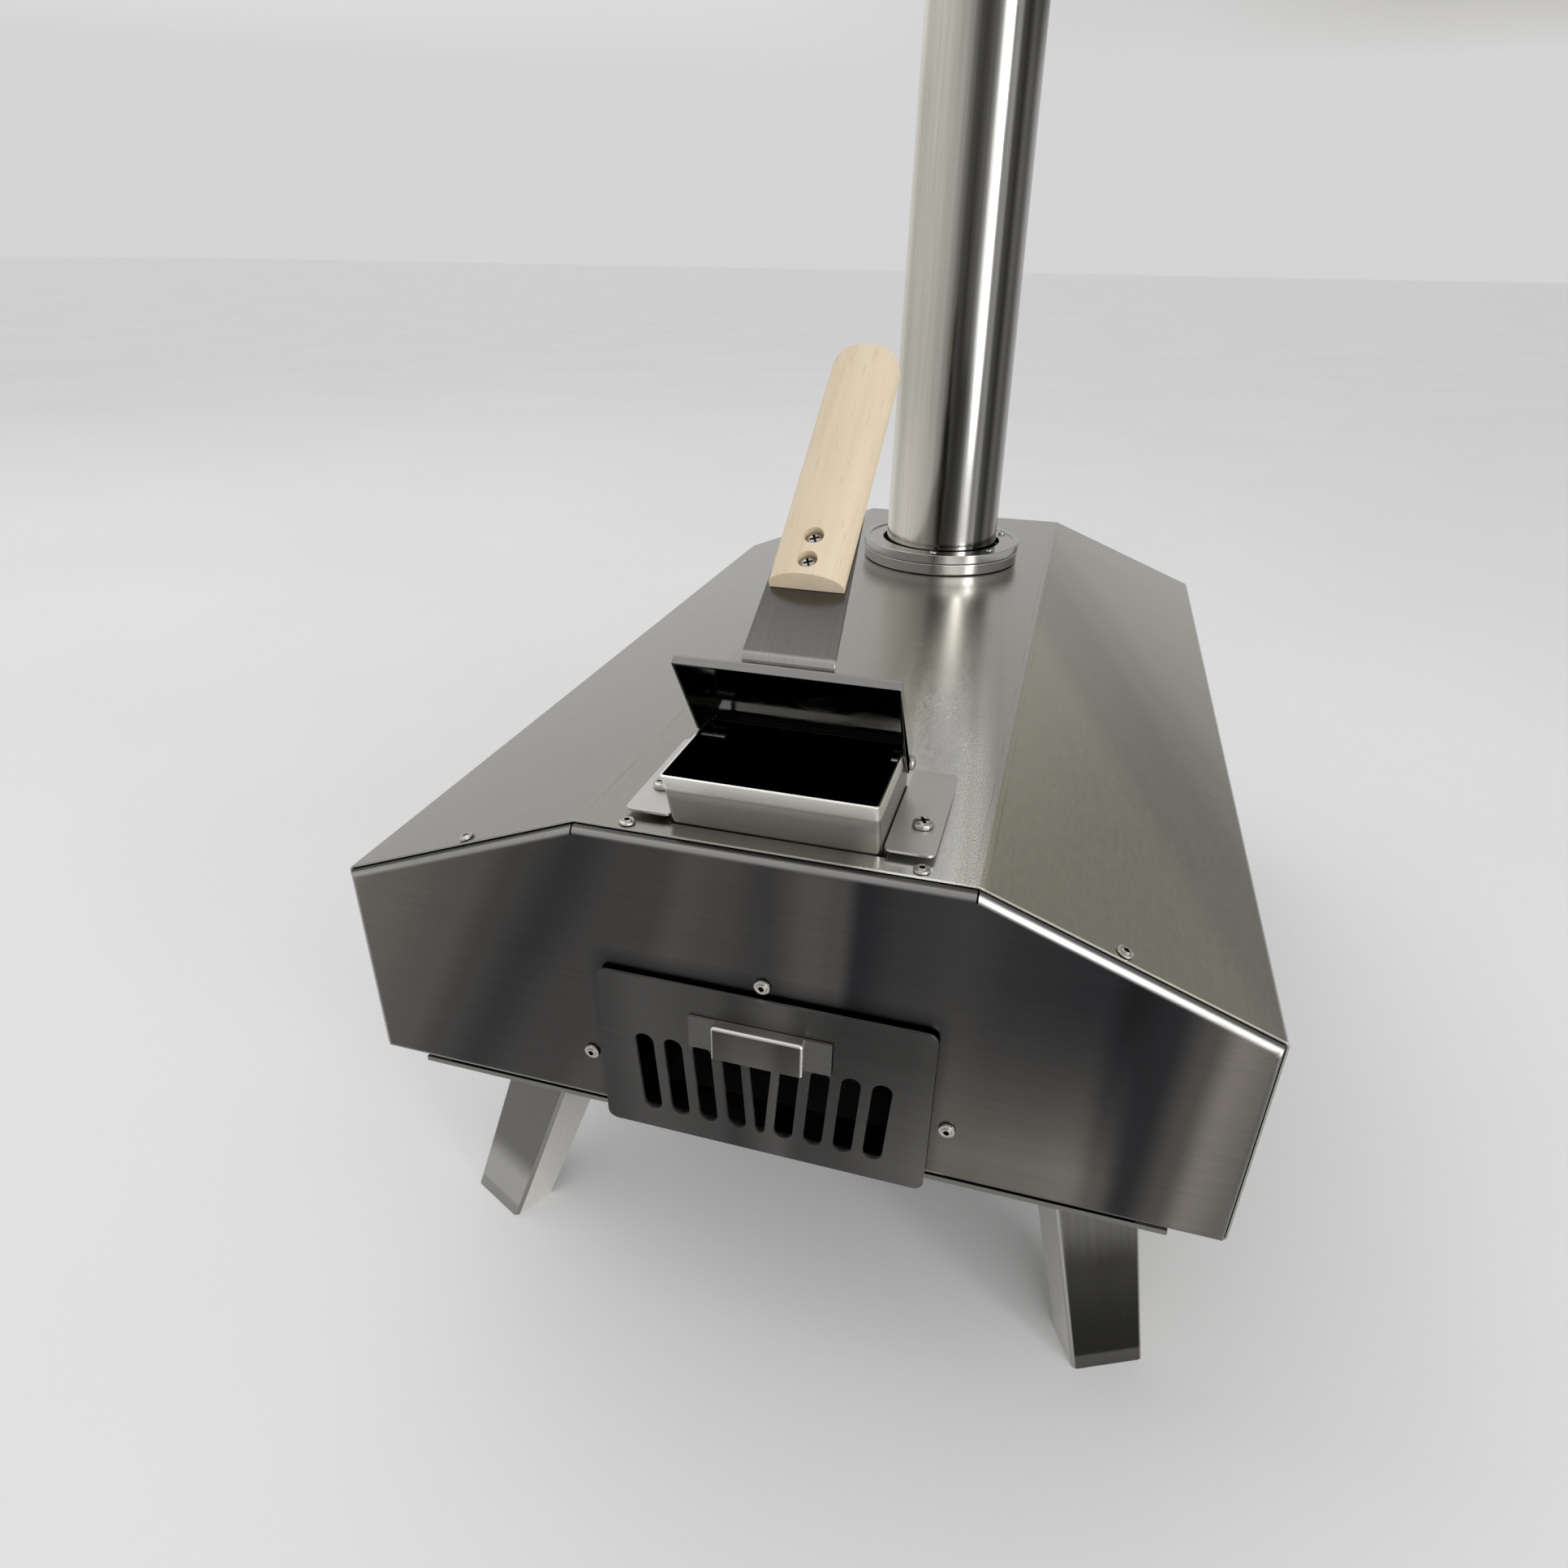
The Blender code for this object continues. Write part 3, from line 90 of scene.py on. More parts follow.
def station(run):
    """A run forward from the rear face, as a place in the scene."""
    return REAR_FACE + run


def near(value, place, reach=0.0001):
    return abs(value - place) < reach


def as_object(bm, name, place):
    """Turn a bmesh into an object at the origin, with its place in its mesh."""
    bm.transform(place)
    mesh = bpy.data.meshes.new(name)
    bm.to_mesh(mesh)
    bm.free()
    item = bpy.data.objects.new(name, mesh)
    bpy.context.scene.collection.objects.link(item)
    return item


def solid(bm, name, place=HOME):
    """A shape as an object, its faces turned outwards."""
    bmesh.ops.recalc_face_normals(bm, faces=bm.faces)
    return as_object(bm, name, place)


def settle(item):
    """Keep what a piece's modifiers make of it."""
    graph = bpy.context.evaluated_depsgraph_get()
    mesh = bpy.data.meshes.new_from_object(item.evaluated_get(graph))
    item.modifiers.clear()
    item.data = mesh
    return item


def cut(item, tool, operation="DIFFERENCE"):
    """Take a tool's shape out of a piece, or join or intersect the two."""
    step = item.modifiers.new("cut", "BOOLEAN")
    step.operation = operation
    step.solver = "EXACT"
    step.object = tool
    settle(item)
    bpy.data.objects.remove(tool, do_unlink=True)


def wall(item, thickness):
    """Give a surface its sheet's thickness, inwards."""
    step = item.modifiers.new("wall", "SOLIDIFY")
    step.thickness = thickness
    step.offset = -1.0
    step.use_even_offset = True
    return settle(item)


def soften(item, width=SHEET_EDGE, segments=2, limit=50):
    """Round every edge that turns by more than the limit, in degrees."""
    step = item.modifiers.new("soft_edges", "BEVEL")
    step.width = width
    step.segments = segments
    step.limit_method = "ANGLE"
    step.angle_limit = math.radians(limit)
    step.profile = 0.5
    step.use_clamp_overlap = True
    return item


def finish(item, node, body, material):
    """Smooth a piece, give it its material, and put it in place of its frame node."""
    item.data.materials.clear()
    item.data.materials.append(material)
    item.data.shade_smooth()
    item.data.set_sharp_from_angle(angle=SMOOTH)
    step = item.modifiers.new("even_shading", "WEIGHTED_NORMAL")
    step.keep_sharp = True
    step.weight = 80
    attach(item, body)
    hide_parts(node)


def inlay(item, material, is_inside):
    """Give the faces that a test picks a second material."""
    item.data.materials.append(material)
    for polygon in item.data.polygons:
        if is_inside(polygon):
            polygon.material_index = 1


def moved(geom, kind=bmesh.types.BMVert):
    """The parts of one kind in what a bmesh step gives back."""
    return [part for part in geom if isinstance(part, kind)]


def corner_at(axis, first, second, along):
    """Two outline coordinates and the one along the axis, as X, Y and Z."""
    places = {"X": (along, first, second), "Y": (first, along, second), "Z": (first, second, along)}
    return Vector(places[axis])


def round_off(bm, geom, radius, segments, affect="EDGES", clamp=False):
    bmesh.ops.bevel(bm, geom=geom, offset=radius, offset_type="OFFSET", segments=segments, profile=0.5,
                    affect=affect, clamp_overlap=clamp, material=-1)


def outline_face(bm, outline, axis, along, radii=0.0, segments=6):
    """A flat face with round corners; the radius is one number or one for each corner."""
    corners = [bm.verts.new(corner_at(axis, first, second, along)) for first, second in outline]
    bm.faces.new(corners)
    sizes = [radii] * len(corners) if isinstance(radii, float) else radii
    for radius in sorted(set(sizes) - {0.0}):
        chosen = [corner for corner, size in zip(corners, sizes) if size == radius]
        round_off(bm, chosen, radius, segments, "VERTICES")
    return bm.faces[:]


def slab(name, outline, axis, low, high, radii=0.0, segments=6, place=HOME):
    """A plate: an outline with round corners, run from low to high along an axis."""
    bm = bmesh.new()
    faces = outline_face(bm, outline, axis, low, radii, segments)
    side = bmesh.ops.extrude_face_region(bm, geom=faces)
    bmesh.ops.translate(bm, vec=corner_at(axis, 0, 0, high - low), verts=moved(side["geom"]))
    return solid(bm, name, place)


def box_outline(low, high):
    return [(low[0], low[1]), (high[0], low[1]), (high[0], high[1]), (low[0], high[1])]


def turn_to(direction):
    """Matrix that turns Z to a direction."""
    return Vector(direction).to_track_quat("Z", "Y").to_matrix().to_4x4()


def bar(name, radius, start, end, steps, place=HOME):
    """Round bar between two points."""
    start, end = Vector(start), Vector(end)
    bm = bmesh.new()
    bmesh.ops.create_cone(bm, cap_ends=True, segments=steps, radius1=radius, radius2=radius,
                          depth=(end - start).length,
                          matrix=Matrix.Translation((start + end) / 2) @ turn_to(end - start))
    return solid(bm, name, place)


def folded(name, path, axis, low, high, radius, thickness, segments=6, place=HOME):
    """Sheet bent along a path, each of the path's inner corners rounded."""
    bm = bmesh.new()
    corners = [bm.verts.new(corner_at(axis, first, second, low)) for first, second in path]
    line = [bm.edges.new(pair) for pair in zip(corners, corners[1:])]
    run = bmesh.ops.extrude_edge_only(bm, edges=line)
    bmesh.ops.translate(bm, vec=corner_at(axis, 0, 0, high - low), verts=moved(run["geom"]))
    folds = []
    for corner in corners[1:-1]:
        for edge in corner.link_edges:
            if len(edge.link_faces) == 2:
                first, second = (face.normal_update() or face.normal for face in edge.link_faces)
                folds.append((edge, radius * math.tan(first.angle(second) / 2)))
    for edge, offset in folds:
        round_off(bm, [edge], offset, segments)
    return wall(solid(bm, name, place), thickness)


def turned(name, profile, centre, steps, place=HOME):
    """Outline of radius and height turned about an upright axis."""
    bm = bmesh.new()
    corners = [bm.verts.new((radius, 0, height)) for radius, height in profile]
    rim = [bm.edges.new(pair) for pair in zip(corners, corners[1:])]
    if profile[0][0] > 0:
        rim.append(bm.edges.new((corners[-1], corners[0])))
    bmesh.ops.spin(bm, geom=corners + rim, cent=(0, 0, 0), axis=(0, 0, 1), angle=math.tau,
                   steps=steps, use_merge=True)
    bmesh.ops.remove_doubles(bm, verts=bm.verts, dist=MERGE)
    bm.transform(Matrix.Translation(centre))
    return solid(bm, name, place)


def copy_of(node, name, folds=None, home=HOME):
    """A frame node's mesh, merged; folds gives an edge's radius from its middle and its run."""
    bm = bmesh.new()
    bm.from_mesh(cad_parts[node].data)
    bmesh.ops.remove_doubles(bm, verts=bm.verts, dist=MERGE)
    bmesh.ops.dissolve_limit(bm, angle_limit=FLAT, verts=bm.verts, edges=bm.edges)
    back = home.inverted()
    groups = {}
    for edge in bm.edges:
        if folds and len(edge.link_faces) == 2 and edge.calc_face_angle(0) > SHARP:
            start, end = (back @ vert.co for vert in edge.verts)
            radius = folds((start + end) / 2, end - start)
            if radius:
                groups.setdefault(round(radius, 6), []).append(edge)
    for radius, edges in sorted(groups.items(), reverse=True):
        round_off(bm, [edge for edge in edges if edge.is_valid], radius, 5, clamp=True)
    return solid(bm, name, Matrix.Identity(4))


def finish_copy(node, name, body, material, width=SHEET_EDGE):
    """Give a frame node's own shape soft edges and its finish."""
    finish(soften(copy_of(node, name), width), node, body, material)


# Material helpers

class Nodes:
    """Adds shader nodes to one tree; most methods give back the socket to go on with."""

    def __init__(self, tree):
        self.tree = tree

    def feed(self, socket, value):
        """Link a socket, or set its value."""
        if isinstance(value, bpy.types.NodeSocket):
            self.tree.links.new(value, socket)
        else:
            socket.default_value = value

    def add(self, kind, settings=None, **inputs):
        """Add a node; inputs are named with underscores for spaces, or as i0, i1 by place."""
        item = self.tree.nodes.new("ShaderNode" + kind)
        for key, value in (settings or {}).items():
            setattr(item, key, value)
        for key, value in inputs.items():
            self.feed(item.inputs[int(key[1:]) if key[1:].isdigit() else key.replace("_", " ")], value)
        return item

    def reckon(self, operation, first, second=0.0, clamp=False):
        return self.add("Math", {"operation": operation, "use_clamp": clamp}, i0=first, i1=second).outputs[0]

    def times(self, first, second):
        return self.reckon("MULTIPLY", first, second)

    def plus(self, first, second, clamp=False):
        return self.reckon("ADD", first, second, clamp)

    def minus(self, first, second):
        return self.reckon("SUBTRACT", first, second)

    def size(self, value):
        """A value without its sign."""
        return self.reckon("ABSOLUTE", value)

    def spread(self, value, low, high, to_low=0.0, to_high=1.0):
        """A value between two bounds, as a share or between two others."""
        return self.add("MapRange", {"clamp": True}, Value=value, From_Min=low, From_Max=high,
                        To_Min=to_low, To_Max=to_high).outputs[0]

    def heading(self, first, second):
        """Share of a full turn in the direction that two values give."""
        return self.spread(self.reckon("ARCTAN2", first, second), -math.pi, math.pi)

    def vector(self, operation, first, second):
        return self.add("VectorMath", {"operation": operation}, i0=first, i1=second)

    def parts(self, vector):
        """A vector's X, Y and Z."""
        return self.add("SeparateXYZ", Vector=vector).outputs[:]

    def own(self):
        """The piece's own X, Y and Z."""
        return self.parts(self.add("TexCoord").outputs["Object"])

    def place(self, turn=(0, 0, 0), move=(0, 0, 0)):
        """The piece's own coordinates, turned so that its brushing or grain runs along X."""
        return self.add("Mapping", {"vector_type": "TEXTURE"}, Vector=self.add("TexCoord").outputs["Object"],
                        Location=move, Rotation=turn).outputs[0]

    def noise(self, vector, scale, detail=2.0, rough=0.5, distortion=0.0):
        return self.add("TexNoise", Vector=vector, Scale=scale, Detail=detail, Roughness=rough,
                        Distortion=distortion).outputs[0]

    def grain(self, place, scales, detail=2.0, rough=0.5, distortion=0.0):
        """Noise with its own scale on each axis."""
        return self.noise(self.vector("MULTIPLY", place, scales).outputs[0], 1.0, detail, rough, distortion)

    def mix(self, share, first, second, blend="MIX"):
        """Two colours mixed."""
        item = self.add("Mix", {"data_type": "RGBA", "blend_type": blend})
        for index, value in ((0, share), (6, first), (7, second)):
            self.feed(item.inputs[index], value)
        return item.outputs[2]

    def stained(self, share, amount, shade, stain):
        """A colour mixed with a stain where a mask says, up to an amount."""
        return self.mix(self.times(share, amount), shade, stain)

    def tinted(self, first, second):
        """Two colours multiplied."""
        return self.mix(1.0, first, second, "MULTIPLY")

    def shaded(self, colour, depth):
        """A colour made darker or lighter by one number."""
        return self.tinted(colour, self.add("CombineXYZ", X=depth, Y=depth, Z=depth).outputs[0])

    def ramp(self, value, stops):
        """Eased colour ramp; each stop is a place and a grey or a colour."""
        item = self.add("ValToRGB", Fac=value)
        band = item.color_ramp
        band.interpolation = "EASE"
        while len(band.elements) < len(stops):
            band.elements.new(0.5)
        for element, (place, shade) in zip(band.elements, stops):
            element.position = place
            element.color = (shade, shade, shade, 1) if isinstance(shade, float) else (*shade, 1)
        return item.outputs[0]

    def group(self, name, **inputs):
        return self.add("Group", {"node_tree": bpy.data.node_groups[name]}, **inputs).outputs

    def coat(self, shader, colour, rough, height, strength, distance):
        """Feed a shader its colour, its roughness and a bump of a height, a strength and a distance."""
        bump = self.add("Bump", Strength=strength, Distance=distance, Height=height)
        for socket, value in (("Base Color", colour), ("Roughness", rough), ("Normal", bump.outputs[0])):
            self.feed(shader[socket], value)


def new_group(name, values, *masks):
    """A node group that makes masks from a place and from values that each material sets."""
    tree = bpy.data.node_groups.new(name, "ShaderNodeTree")
    tree.interface.new_socket("Place", in_out="INPUT", socket_type="NodeSocketVector")
    for label, default in values.items():
        socket = tree.interface.new_socket(label, in_out="INPUT", socket_type="NodeSocketFloat")
        socket.default_value = default
    for label in masks:
        tree.interface.new_socket(label, in_out="OUTPUT", socket_type="NodeSocketFloat")
    given, out = tree.nodes.new("NodeGroupInput").outputs, tree.nodes.new("NodeGroupOutput").inputs
    return Nodes(tree), given["Place"], given, out


def build_brush_group():
    """Fine parallel brushing: a place already turned so that the brushing runs along X."""
    values = {"Length": 9.0, "Fineness": 1100.0}
    nodes, place, given, out = new_group("brushed_grain", values, "Grain", "Streaks")
    across = given["Fineness"]
    scales = nodes.add("CombineXYZ", X=given["Length"], Y=across, Z=across).outputs[0]
    fine = nodes.grain(place, scales, 3.0, 0.65)
    wide = nodes.grain(place, nodes.vector("MULTIPLY", scales, (0.35, 0.16, 0.16)).outputs[0], 4.0, 0.7)
    nodes.feed(out["Grain"], nodes.spread(fine, 0.25, 0.75))
    nodes.feed(out["Streaks"], nodes.spread(wide, 0.32, 0.68))


def build_handling_group():
    """Faint smudges and sparse hairline scratches."""
    nodes, place, given, out = new_group("handling_marks", {"Size": 11.0}, "Smudge", "Scratch")
    nodes.feed(out["Smudge"], nodes.spread(nodes.noise(place, given["Size"], 5.0, 0.6, 0.8), 0.46, 0.70))
    aslant = nodes.add("Mapping", Vector=place, Rotation=(0.6, 0.35, 0.9), Scale=(22.0, 900.0, 900.0))
    hair = nodes.spread(nodes.noise(aslant.outputs[0], 1.0, 1.0, 0.4), 0.70, 0.78)
    sparse = nodes.spread(nodes.noise(place, 38.0), 0.52, 0.66)
    nodes.feed(out["Scratch"], nodes.times(hair, sparse))


def build_wood_group():
    """Pale straight-grained wood: a place turned so that the grain runs along X."""
    nodes, place, _, out = new_group("wood_figure", {}, "Figure", "Fleck", "Pores")
    rings = nodes.grain(place, (9.0, 150.0, 150.0), 3.0, 0.55, 0.35)
    flecks = nodes.grain(place, (70.0, 900.0, 900.0))
    pores = nodes.grain(place, (260.0, 2600.0, 2600.0))
    for mask, value, low, high in (("Figure", rings, 0.3, 0.7), ("Fleck", flecks, 0.62, 0.74),
                                   ("Pores", pores, 0.35, 0.65)):
        nodes.feed(out[mask], nodes.spread(value, low, high))


def build_soot_group():
    """Soft soot and heat staining that gathers in clouds."""
    nodes, place, given, out = new_group("soot", {"Amount": 0.5}, "Soot")
    lowest = nodes.minus(0.72, nodes.times(given["Amount"], 0.45))
    nodes.feed(out["Soot"], nodes.spread(nodes.noise(place, 26.0, 6.0, 0.65, 0.4), lowest, 0.8))


def fresh(name):
    """A new material, its nodes and its shader's inputs."""
    material = bpy.data.materials.new(name)
    material.use_nodes = True
    tree = material.node_tree
    return material, Nodes(tree), tree.nodes["Principled BSDF"].inputs


def deeper(colour, share):
    return tuple(channel * share for channel in colour)


# Steel

# Shares of the brushing, the smudges and the scratches in the steel's colour, roughness and bump
BRUSH_DEPTH, SMUDGE_DEPTH, SCRATCH_DEPTH = 0.10, 0.06, 0.16
BRUSH_ROUGH, SMUDGE_ROUGH = 0.06, 0.08
BRUSH_BUMP, SCRATCH_BUMP = 0.05, -0.6
SOOT_BLACK = (0.018, 0.016, 0.015, 1)


def brushed_metal(name, colour, roughness, turn=(0, 0, 0), move=(0, 0, 0), anisotropy=0.0, grain=1.0,
                  smudges=0.5, painted_light=None, soot=0.0, length=36.0, fineness=2400.0, edge_highlight=None):
    """Satin stainless steel with fine brushing, faint smudges and hairline scratches.

    The colour function given paints reflection bands, light and shade, and highlights on folds into the
    steel's colour over the piece.
    The edge colour is a painted highlight on the edges of a plate that faces the rear.
    """
    material, nodes, shader = fresh(name)
    place = nodes.place(turn, move)
    brushed = nodes.group("brushed_grain", Place=place, Length=length, Fineness=fineness)
    handled = nodes.group("handling_marks", Place=place)
    base = (*colour, 1.0)
    # Painted reflections, light and shade over the piece
    if painted_light:
        base = painted_light(nodes, base, place)
    # Painted highlight on the edges that turn away from the rear
    if edge_highlight:
        facing = nodes.vector("DOT_PRODUCT", nodes.add("NewGeometry").outputs["True Normal"], (0, 1, 0))
        off_face = nodes.spread(nodes.size(facing.outputs[1]), 0.80, 0.97, 1.0, 0.0)
        base = nodes.mix(off_face, base, (*edge_highlight, 1.0))
    streak = nodes.plus(nodes.times(brushed["Grain"], 0.5), nodes.times(brushed["Streaks"], 0.5))
    swing = BRUSH_DEPTH * grain
    depth = nodes.spread(streak, 0.0, 1.0, 1.0 - swing, 1.0 + swing)
    depth = nodes.minus(depth, nodes.times(handled["Smudge"], SMUDGE_DEPTH * smudges))
    depth = nodes.plus(depth, nodes.times(handled["Scratch"], SCRATCH_DEPTH * smudges))
    shade = nodes.shaded(base, depth)
    rough = nodes.plus(nodes.times(brushed["Streaks"], BRUSH_ROUGH * grain),
                       nodes.times(handled["Smudge"], SMUDGE_ROUGH * smudges))
    rough = nodes.plus(rough, roughness - BRUSH_ROUGH / 2)
    if soot:
        sooty = nodes.group("soot", Place=place, Amount=soot)["Soot"]
        shade = nodes.mix(sooty, shade, SOOT_BLACK)
        rough = nodes.plus(rough, nodes.times(sooty, 0.4), clamp=True)
        nodes.feed(shader["Metallic"], nodes.spread(sooty, 0.0, 1.0, 1.0, 0.25))
        shader["Specular IOR Level"].default_value = 0.05
    else:
        shader["Metallic"].default_value = 1.0
    height = nodes.plus(brushed["Grain"], nodes.times(handled["Scratch"], SCRATCH_BUMP))
    nodes.coat(shader, shade, rough, height, BRUSH_BUMP * grain, 0.00005)
    if anisotropy:
        shader["Anisotropic"].default_value = anisotropy
        facing = nodes.add("NewGeometry").outputs["Normal"]
        axis = Euler(turn).to_matrix() @ Vector((1, 0, 0))
        nodes.feed(shader["Tangent"], nodes.vector("CROSS_PRODUCT", facing, axis).outputs[0])
    return material


# Places across a piece as shares of its width, with the steel's depth at each: painted reflection bands and
# a painted glow on the end panels, painted reflection bands on the hatch and painted light across the pull
PANEL_REFLECTION_BANDS = [(0.0, 0.85), (0.06, 0.60), (0.165, 0.42), (0.215, 0.27), (0.27, 0.17), (0.33, 0.26),
               (0.375, 0.27), (0.41, 0.36), (0.45, 0.32), (0.50, 0.235), (0.55, 0.42), (0.578, 0.36),
               (0.598, 0.12), (0.645, 0.20), (0.70, 0.235), (0.76, 0.165), (0.83, 0.14), (0.86, 0.08),
               (0.90, 0.13), (0.935, 0.40), (0.962, 0.95), (1.0, 0.65)]
PANEL_PAINTED_GLOW = [(0.0, 0.0), (0.58, 0.0), (0.68, 0.40), (0.72, 0.52), (0.77, 0.60), (0.835, 0.74),
              (0.858, 0.42), (0.885, 0.02), (0.90, 0.0)]
HATCH_REFLECTION_BANDS = [(0.0, 0.20), (0.15, 0.29), (0.36, 0.24), (0.42, 0.18), (0.555, 0.34), (0.63, 0.20),
               (0.74, 0.15), (0.91, 0.175), (1.0, 0.22)]
PULL_LIGHT_BANDS = [(0.0, 0.75), (0.35, 1.1), (0.55, 1.15), (0.8, 0.72), (1.0, 0.85)]

# The middle of the panel's painted reflection bands, and the hatch's half width
PANEL_MIDDLE = 0.003
HATCH_HALF = 0.073

# The same round the tube, as painted reflection bands, in shares of a full turn from the front by its left
# side
FLUE_REFLECTION_BANDS = [(0.0, 0.90), (0.20, 0.80), (0.325, 1.05), (0.355, 0.80), (0.40, 0.92), (0.435, 0.86),
              (0.475, 0.72), (0.490, 0.50), (0.502, 0.26), (0.513, 0.12), (0.535, 0.05), (0.55, 0.08),
              (0.560, 0.18), (0.568, 0.55), (0.575, 0.80), (0.588, 0.82), (0.598, 0.34), (0.611, 0.46),
              (0.622, 0.12), (0.640, 0.06), (0.662, 0.20), (0.68, 0.12), (0.72, 0.45), (0.80, 0.75),
              (1.0, 0.90)]

# The steel's painted shade on the left slope and the flat top, and painted reflection bands aslant over the
# right slope
LEFT_SHADE = (0.83, 0.825, 0.80, 1)
TOP_SHADE = (0.94, 0.94, 0.90, 1)
SLOPE_SHADES = [(0.0, (1.20, 1.20, 1.12)), (0.30, (1.14, 1.14, 1.07)), (0.42, 0.90), (0.55, 0.84),
                (0.66, 0.95), (0.82, 1.12), (1.0, 1.16)]

# The painted reflection streak on the flat top: its middle at the collar, its lean, and its depth to the
# chute and across
STREAK_START = station(0.3855)
STREAK_SIDE = 0.0245
STREAK_LEAN = 0.09
STREAK_DEPTHS = [(0.0, 0.55), (0.10, 0.95), (0.33, 1.10), (0.57, 1.8), (0.77, 2.8), (0.94, 4.6), (1.0, 4.6)]
STREAK_HALF = 0.029
STREAK_EDGE = [(0.0, 1.0), (0.3, 0.75), (0.6, 0.3), (1.0, 0.0)]


def end_panel_painted_light(nodes, base, place):
    """Painted reflections on an end panel: broad leaning bands and a glow over its face, a painted shadow
    above the hatch, and a painted highlight on its folded rim.
    """
    x, y, z = nodes.own()
    across = nodes.plus(x, nodes.times(nodes.noise(place, 9.0), 0.006))
    lean = nodes.times(nodes.minus(level(0.115), z), nodes.spread(x, -0.09, 0.0, 0.5, 0.05))
    sides = PANEL_MIDDLE - BODY_HALF, PANEL_MIDDLE + BODY_HALF
    bands = nodes.ramp(nodes.spread(nodes.plus(across, lean), *sides), PANEL_REFLECTION_BANDS)
    glow = nodes.ramp(nodes.spread(across, *sides), PANEL_PAINTED_GLOW)
    fall = nodes.spread(z, level(0.02), level(0.115), 1.0, 0.0)
    depth = nodes.plus(nodes.times(glow, nodes.times(fall, fall)), bands)
    # Painted shadow on the panel just above the hatch
    shadow_over_hatch = nodes.spread(z, level(0.081), level(0.092), 0.65, 0.0)
    beside = nodes.spread(nodes.size(x), HATCH_HALF - 0.005, HATCH_HALF + 0.005, 1.0, 0.0)
    depth = nodes.times(depth, nodes.minus(1.0, nodes.times(shadow_over_hatch, beside)))
    # Cooler where the painted reflection is dark, warmer where it is light
    cast = nodes.mix(nodes.spread(depth, 0.14, 0.36), (0.97, 1.0, 1.07, 1), (1.07, 1.0, 0.92, 1))
    rim, bend = panel_rim_highlight(nodes, x, y, z)
    return nodes.mix(rim, nodes.tinted(base, nodes.shaded(cast, depth)), nodes.tinted(base, bend))


def panel_rim_highlight(nodes, x, y, z):
    """Where an end panel's rim turns back, and the painted highlight and shade on its bend."""
    sizes = bpy.context.scene.oven_casing
    middle, ridge = sizes.body_length / 2, sizes.roof_flat / 2
    turned_back = nodes.minus(middle, nodes.size(nodes.minus(y, station(middle))))
    rim = nodes.spread(turned_back, 0.00003, 0.0004)
    # Painted shade where the rim runs back behind the shell's edge
    behind_edge = nodes.spread(turned_back, 0.0012, 0.0020, 1.0, 0.18)
    past_ridge = nodes.spread(x, ridge - 0.0002, ridge + 0.0004)
    on_slope = nodes.times(past_ridge, nodes.spread(z, level(0.0995), level(0.1030)))
    # Painted highlight on the bend: bright, white on the right slope, darker down the right side
    bend = nodes.mix(past_ridge, (1.7, 1.7, 1.67, 1), (0.55, 0.55, 0.55, 1))
    return rim, nodes.shaded(nodes.mix(on_slope, bend, (4.4, 4.4, 4.35, 1)), behind_edge)


def hatch_painted_light(nodes, base, place):
    """Painted reflections on the hatch: softer bands, and painted light toward its lower right."""
    x, _, z = nodes.own()
    bands = nodes.ramp(nodes.spread(x, -HATCH_HALF, HATCH_HALF), HATCH_REFLECTION_BANDS)
    low = nodes.spread(z, level(0.005), level(0.065), 1.0, 0.0)
    side = nodes.spread(x, 0.015, 0.075, 0.0, 0.27)
    return nodes.shaded(base, nodes.plus(bands, nodes.times(low, side)))


def pull_painted_light(nodes, base, place):
    """Painted light and shade on the pull: its raised front darker and warmer than its ears, lightest near
    the middle and toward its foot.
    """
    x, y, z = nodes.own()
    raised = nodes.spread(y, station(-0.0090), station(-0.0060), 1.0, 0.0)
    across = nodes.ramp(nodes.spread(x, -0.02, 0.02), PULL_LIGHT_BANDS)
    down = nodes.spread(z, level(0.051), level(0.066), 1.2, 0.85)
    front = nodes.shaded((0.62, 0.60, 0.56, 1), nodes.times(across, down))
    return nodes.tinted(base, nodes.mix(raised, (0.80, 0.80, 0.80, 1), front))


def shell_marks_and_painted_light(nodes, base, place):
    """Fine press marks beside the shell's ridges, a painted reflection streak on the flat top before the
    chimney, and painted light and shade over the roof.
    """
    x, y, z = nodes.own()
    sizes = bpy.context.scene.oven_casing
    ridge = sizes.roof_flat / 2
    depth = nodes.plus(painted_reflection_streak(nodes, place, x, y, z), 1.0)
    depth = nodes.minus(depth, press_mark(nodes, place, x, ridge))
    # Painted reflection bands aslant over the right slope, and painted shade on the left slope and the flat
    # top
    aslant = nodes.plus(nodes.minus(y, station(0.40)), nodes.times(nodes.minus(x, ridge), 2.9))
    slope = nodes.ramp(nodes.spread(aslant, -0.30, 0.30), SLOPE_SHADES)
    on_top = nodes.spread(nodes.size(x), ridge, ridge + 0.001, 1.0, 0.0)
    right = nodes.spread(x, ridge, ridge + 0.001)
    roof = nodes.mix(right, nodes.mix(on_top, LEFT_SHADE, TOP_SHADE), slope)
    return nodes.tinted(base, nodes.shaded(roof, depth))


def press_mark(nodes, place, x, ridge):
    """Two faint darker lines along each ridge, one on either side of its fold, broken up by noise."""
    aside = nodes.size(nodes.minus(nodes.size(x), ridge))
    line = nodes.spread(nodes.size(nodes.minus(aside, 0.0026)), 0.0001, 0.0003, 0.30, 0.0)
    return nodes.times(line, nodes.spread(nodes.noise(place, 30.0), 0.40, 0.60))


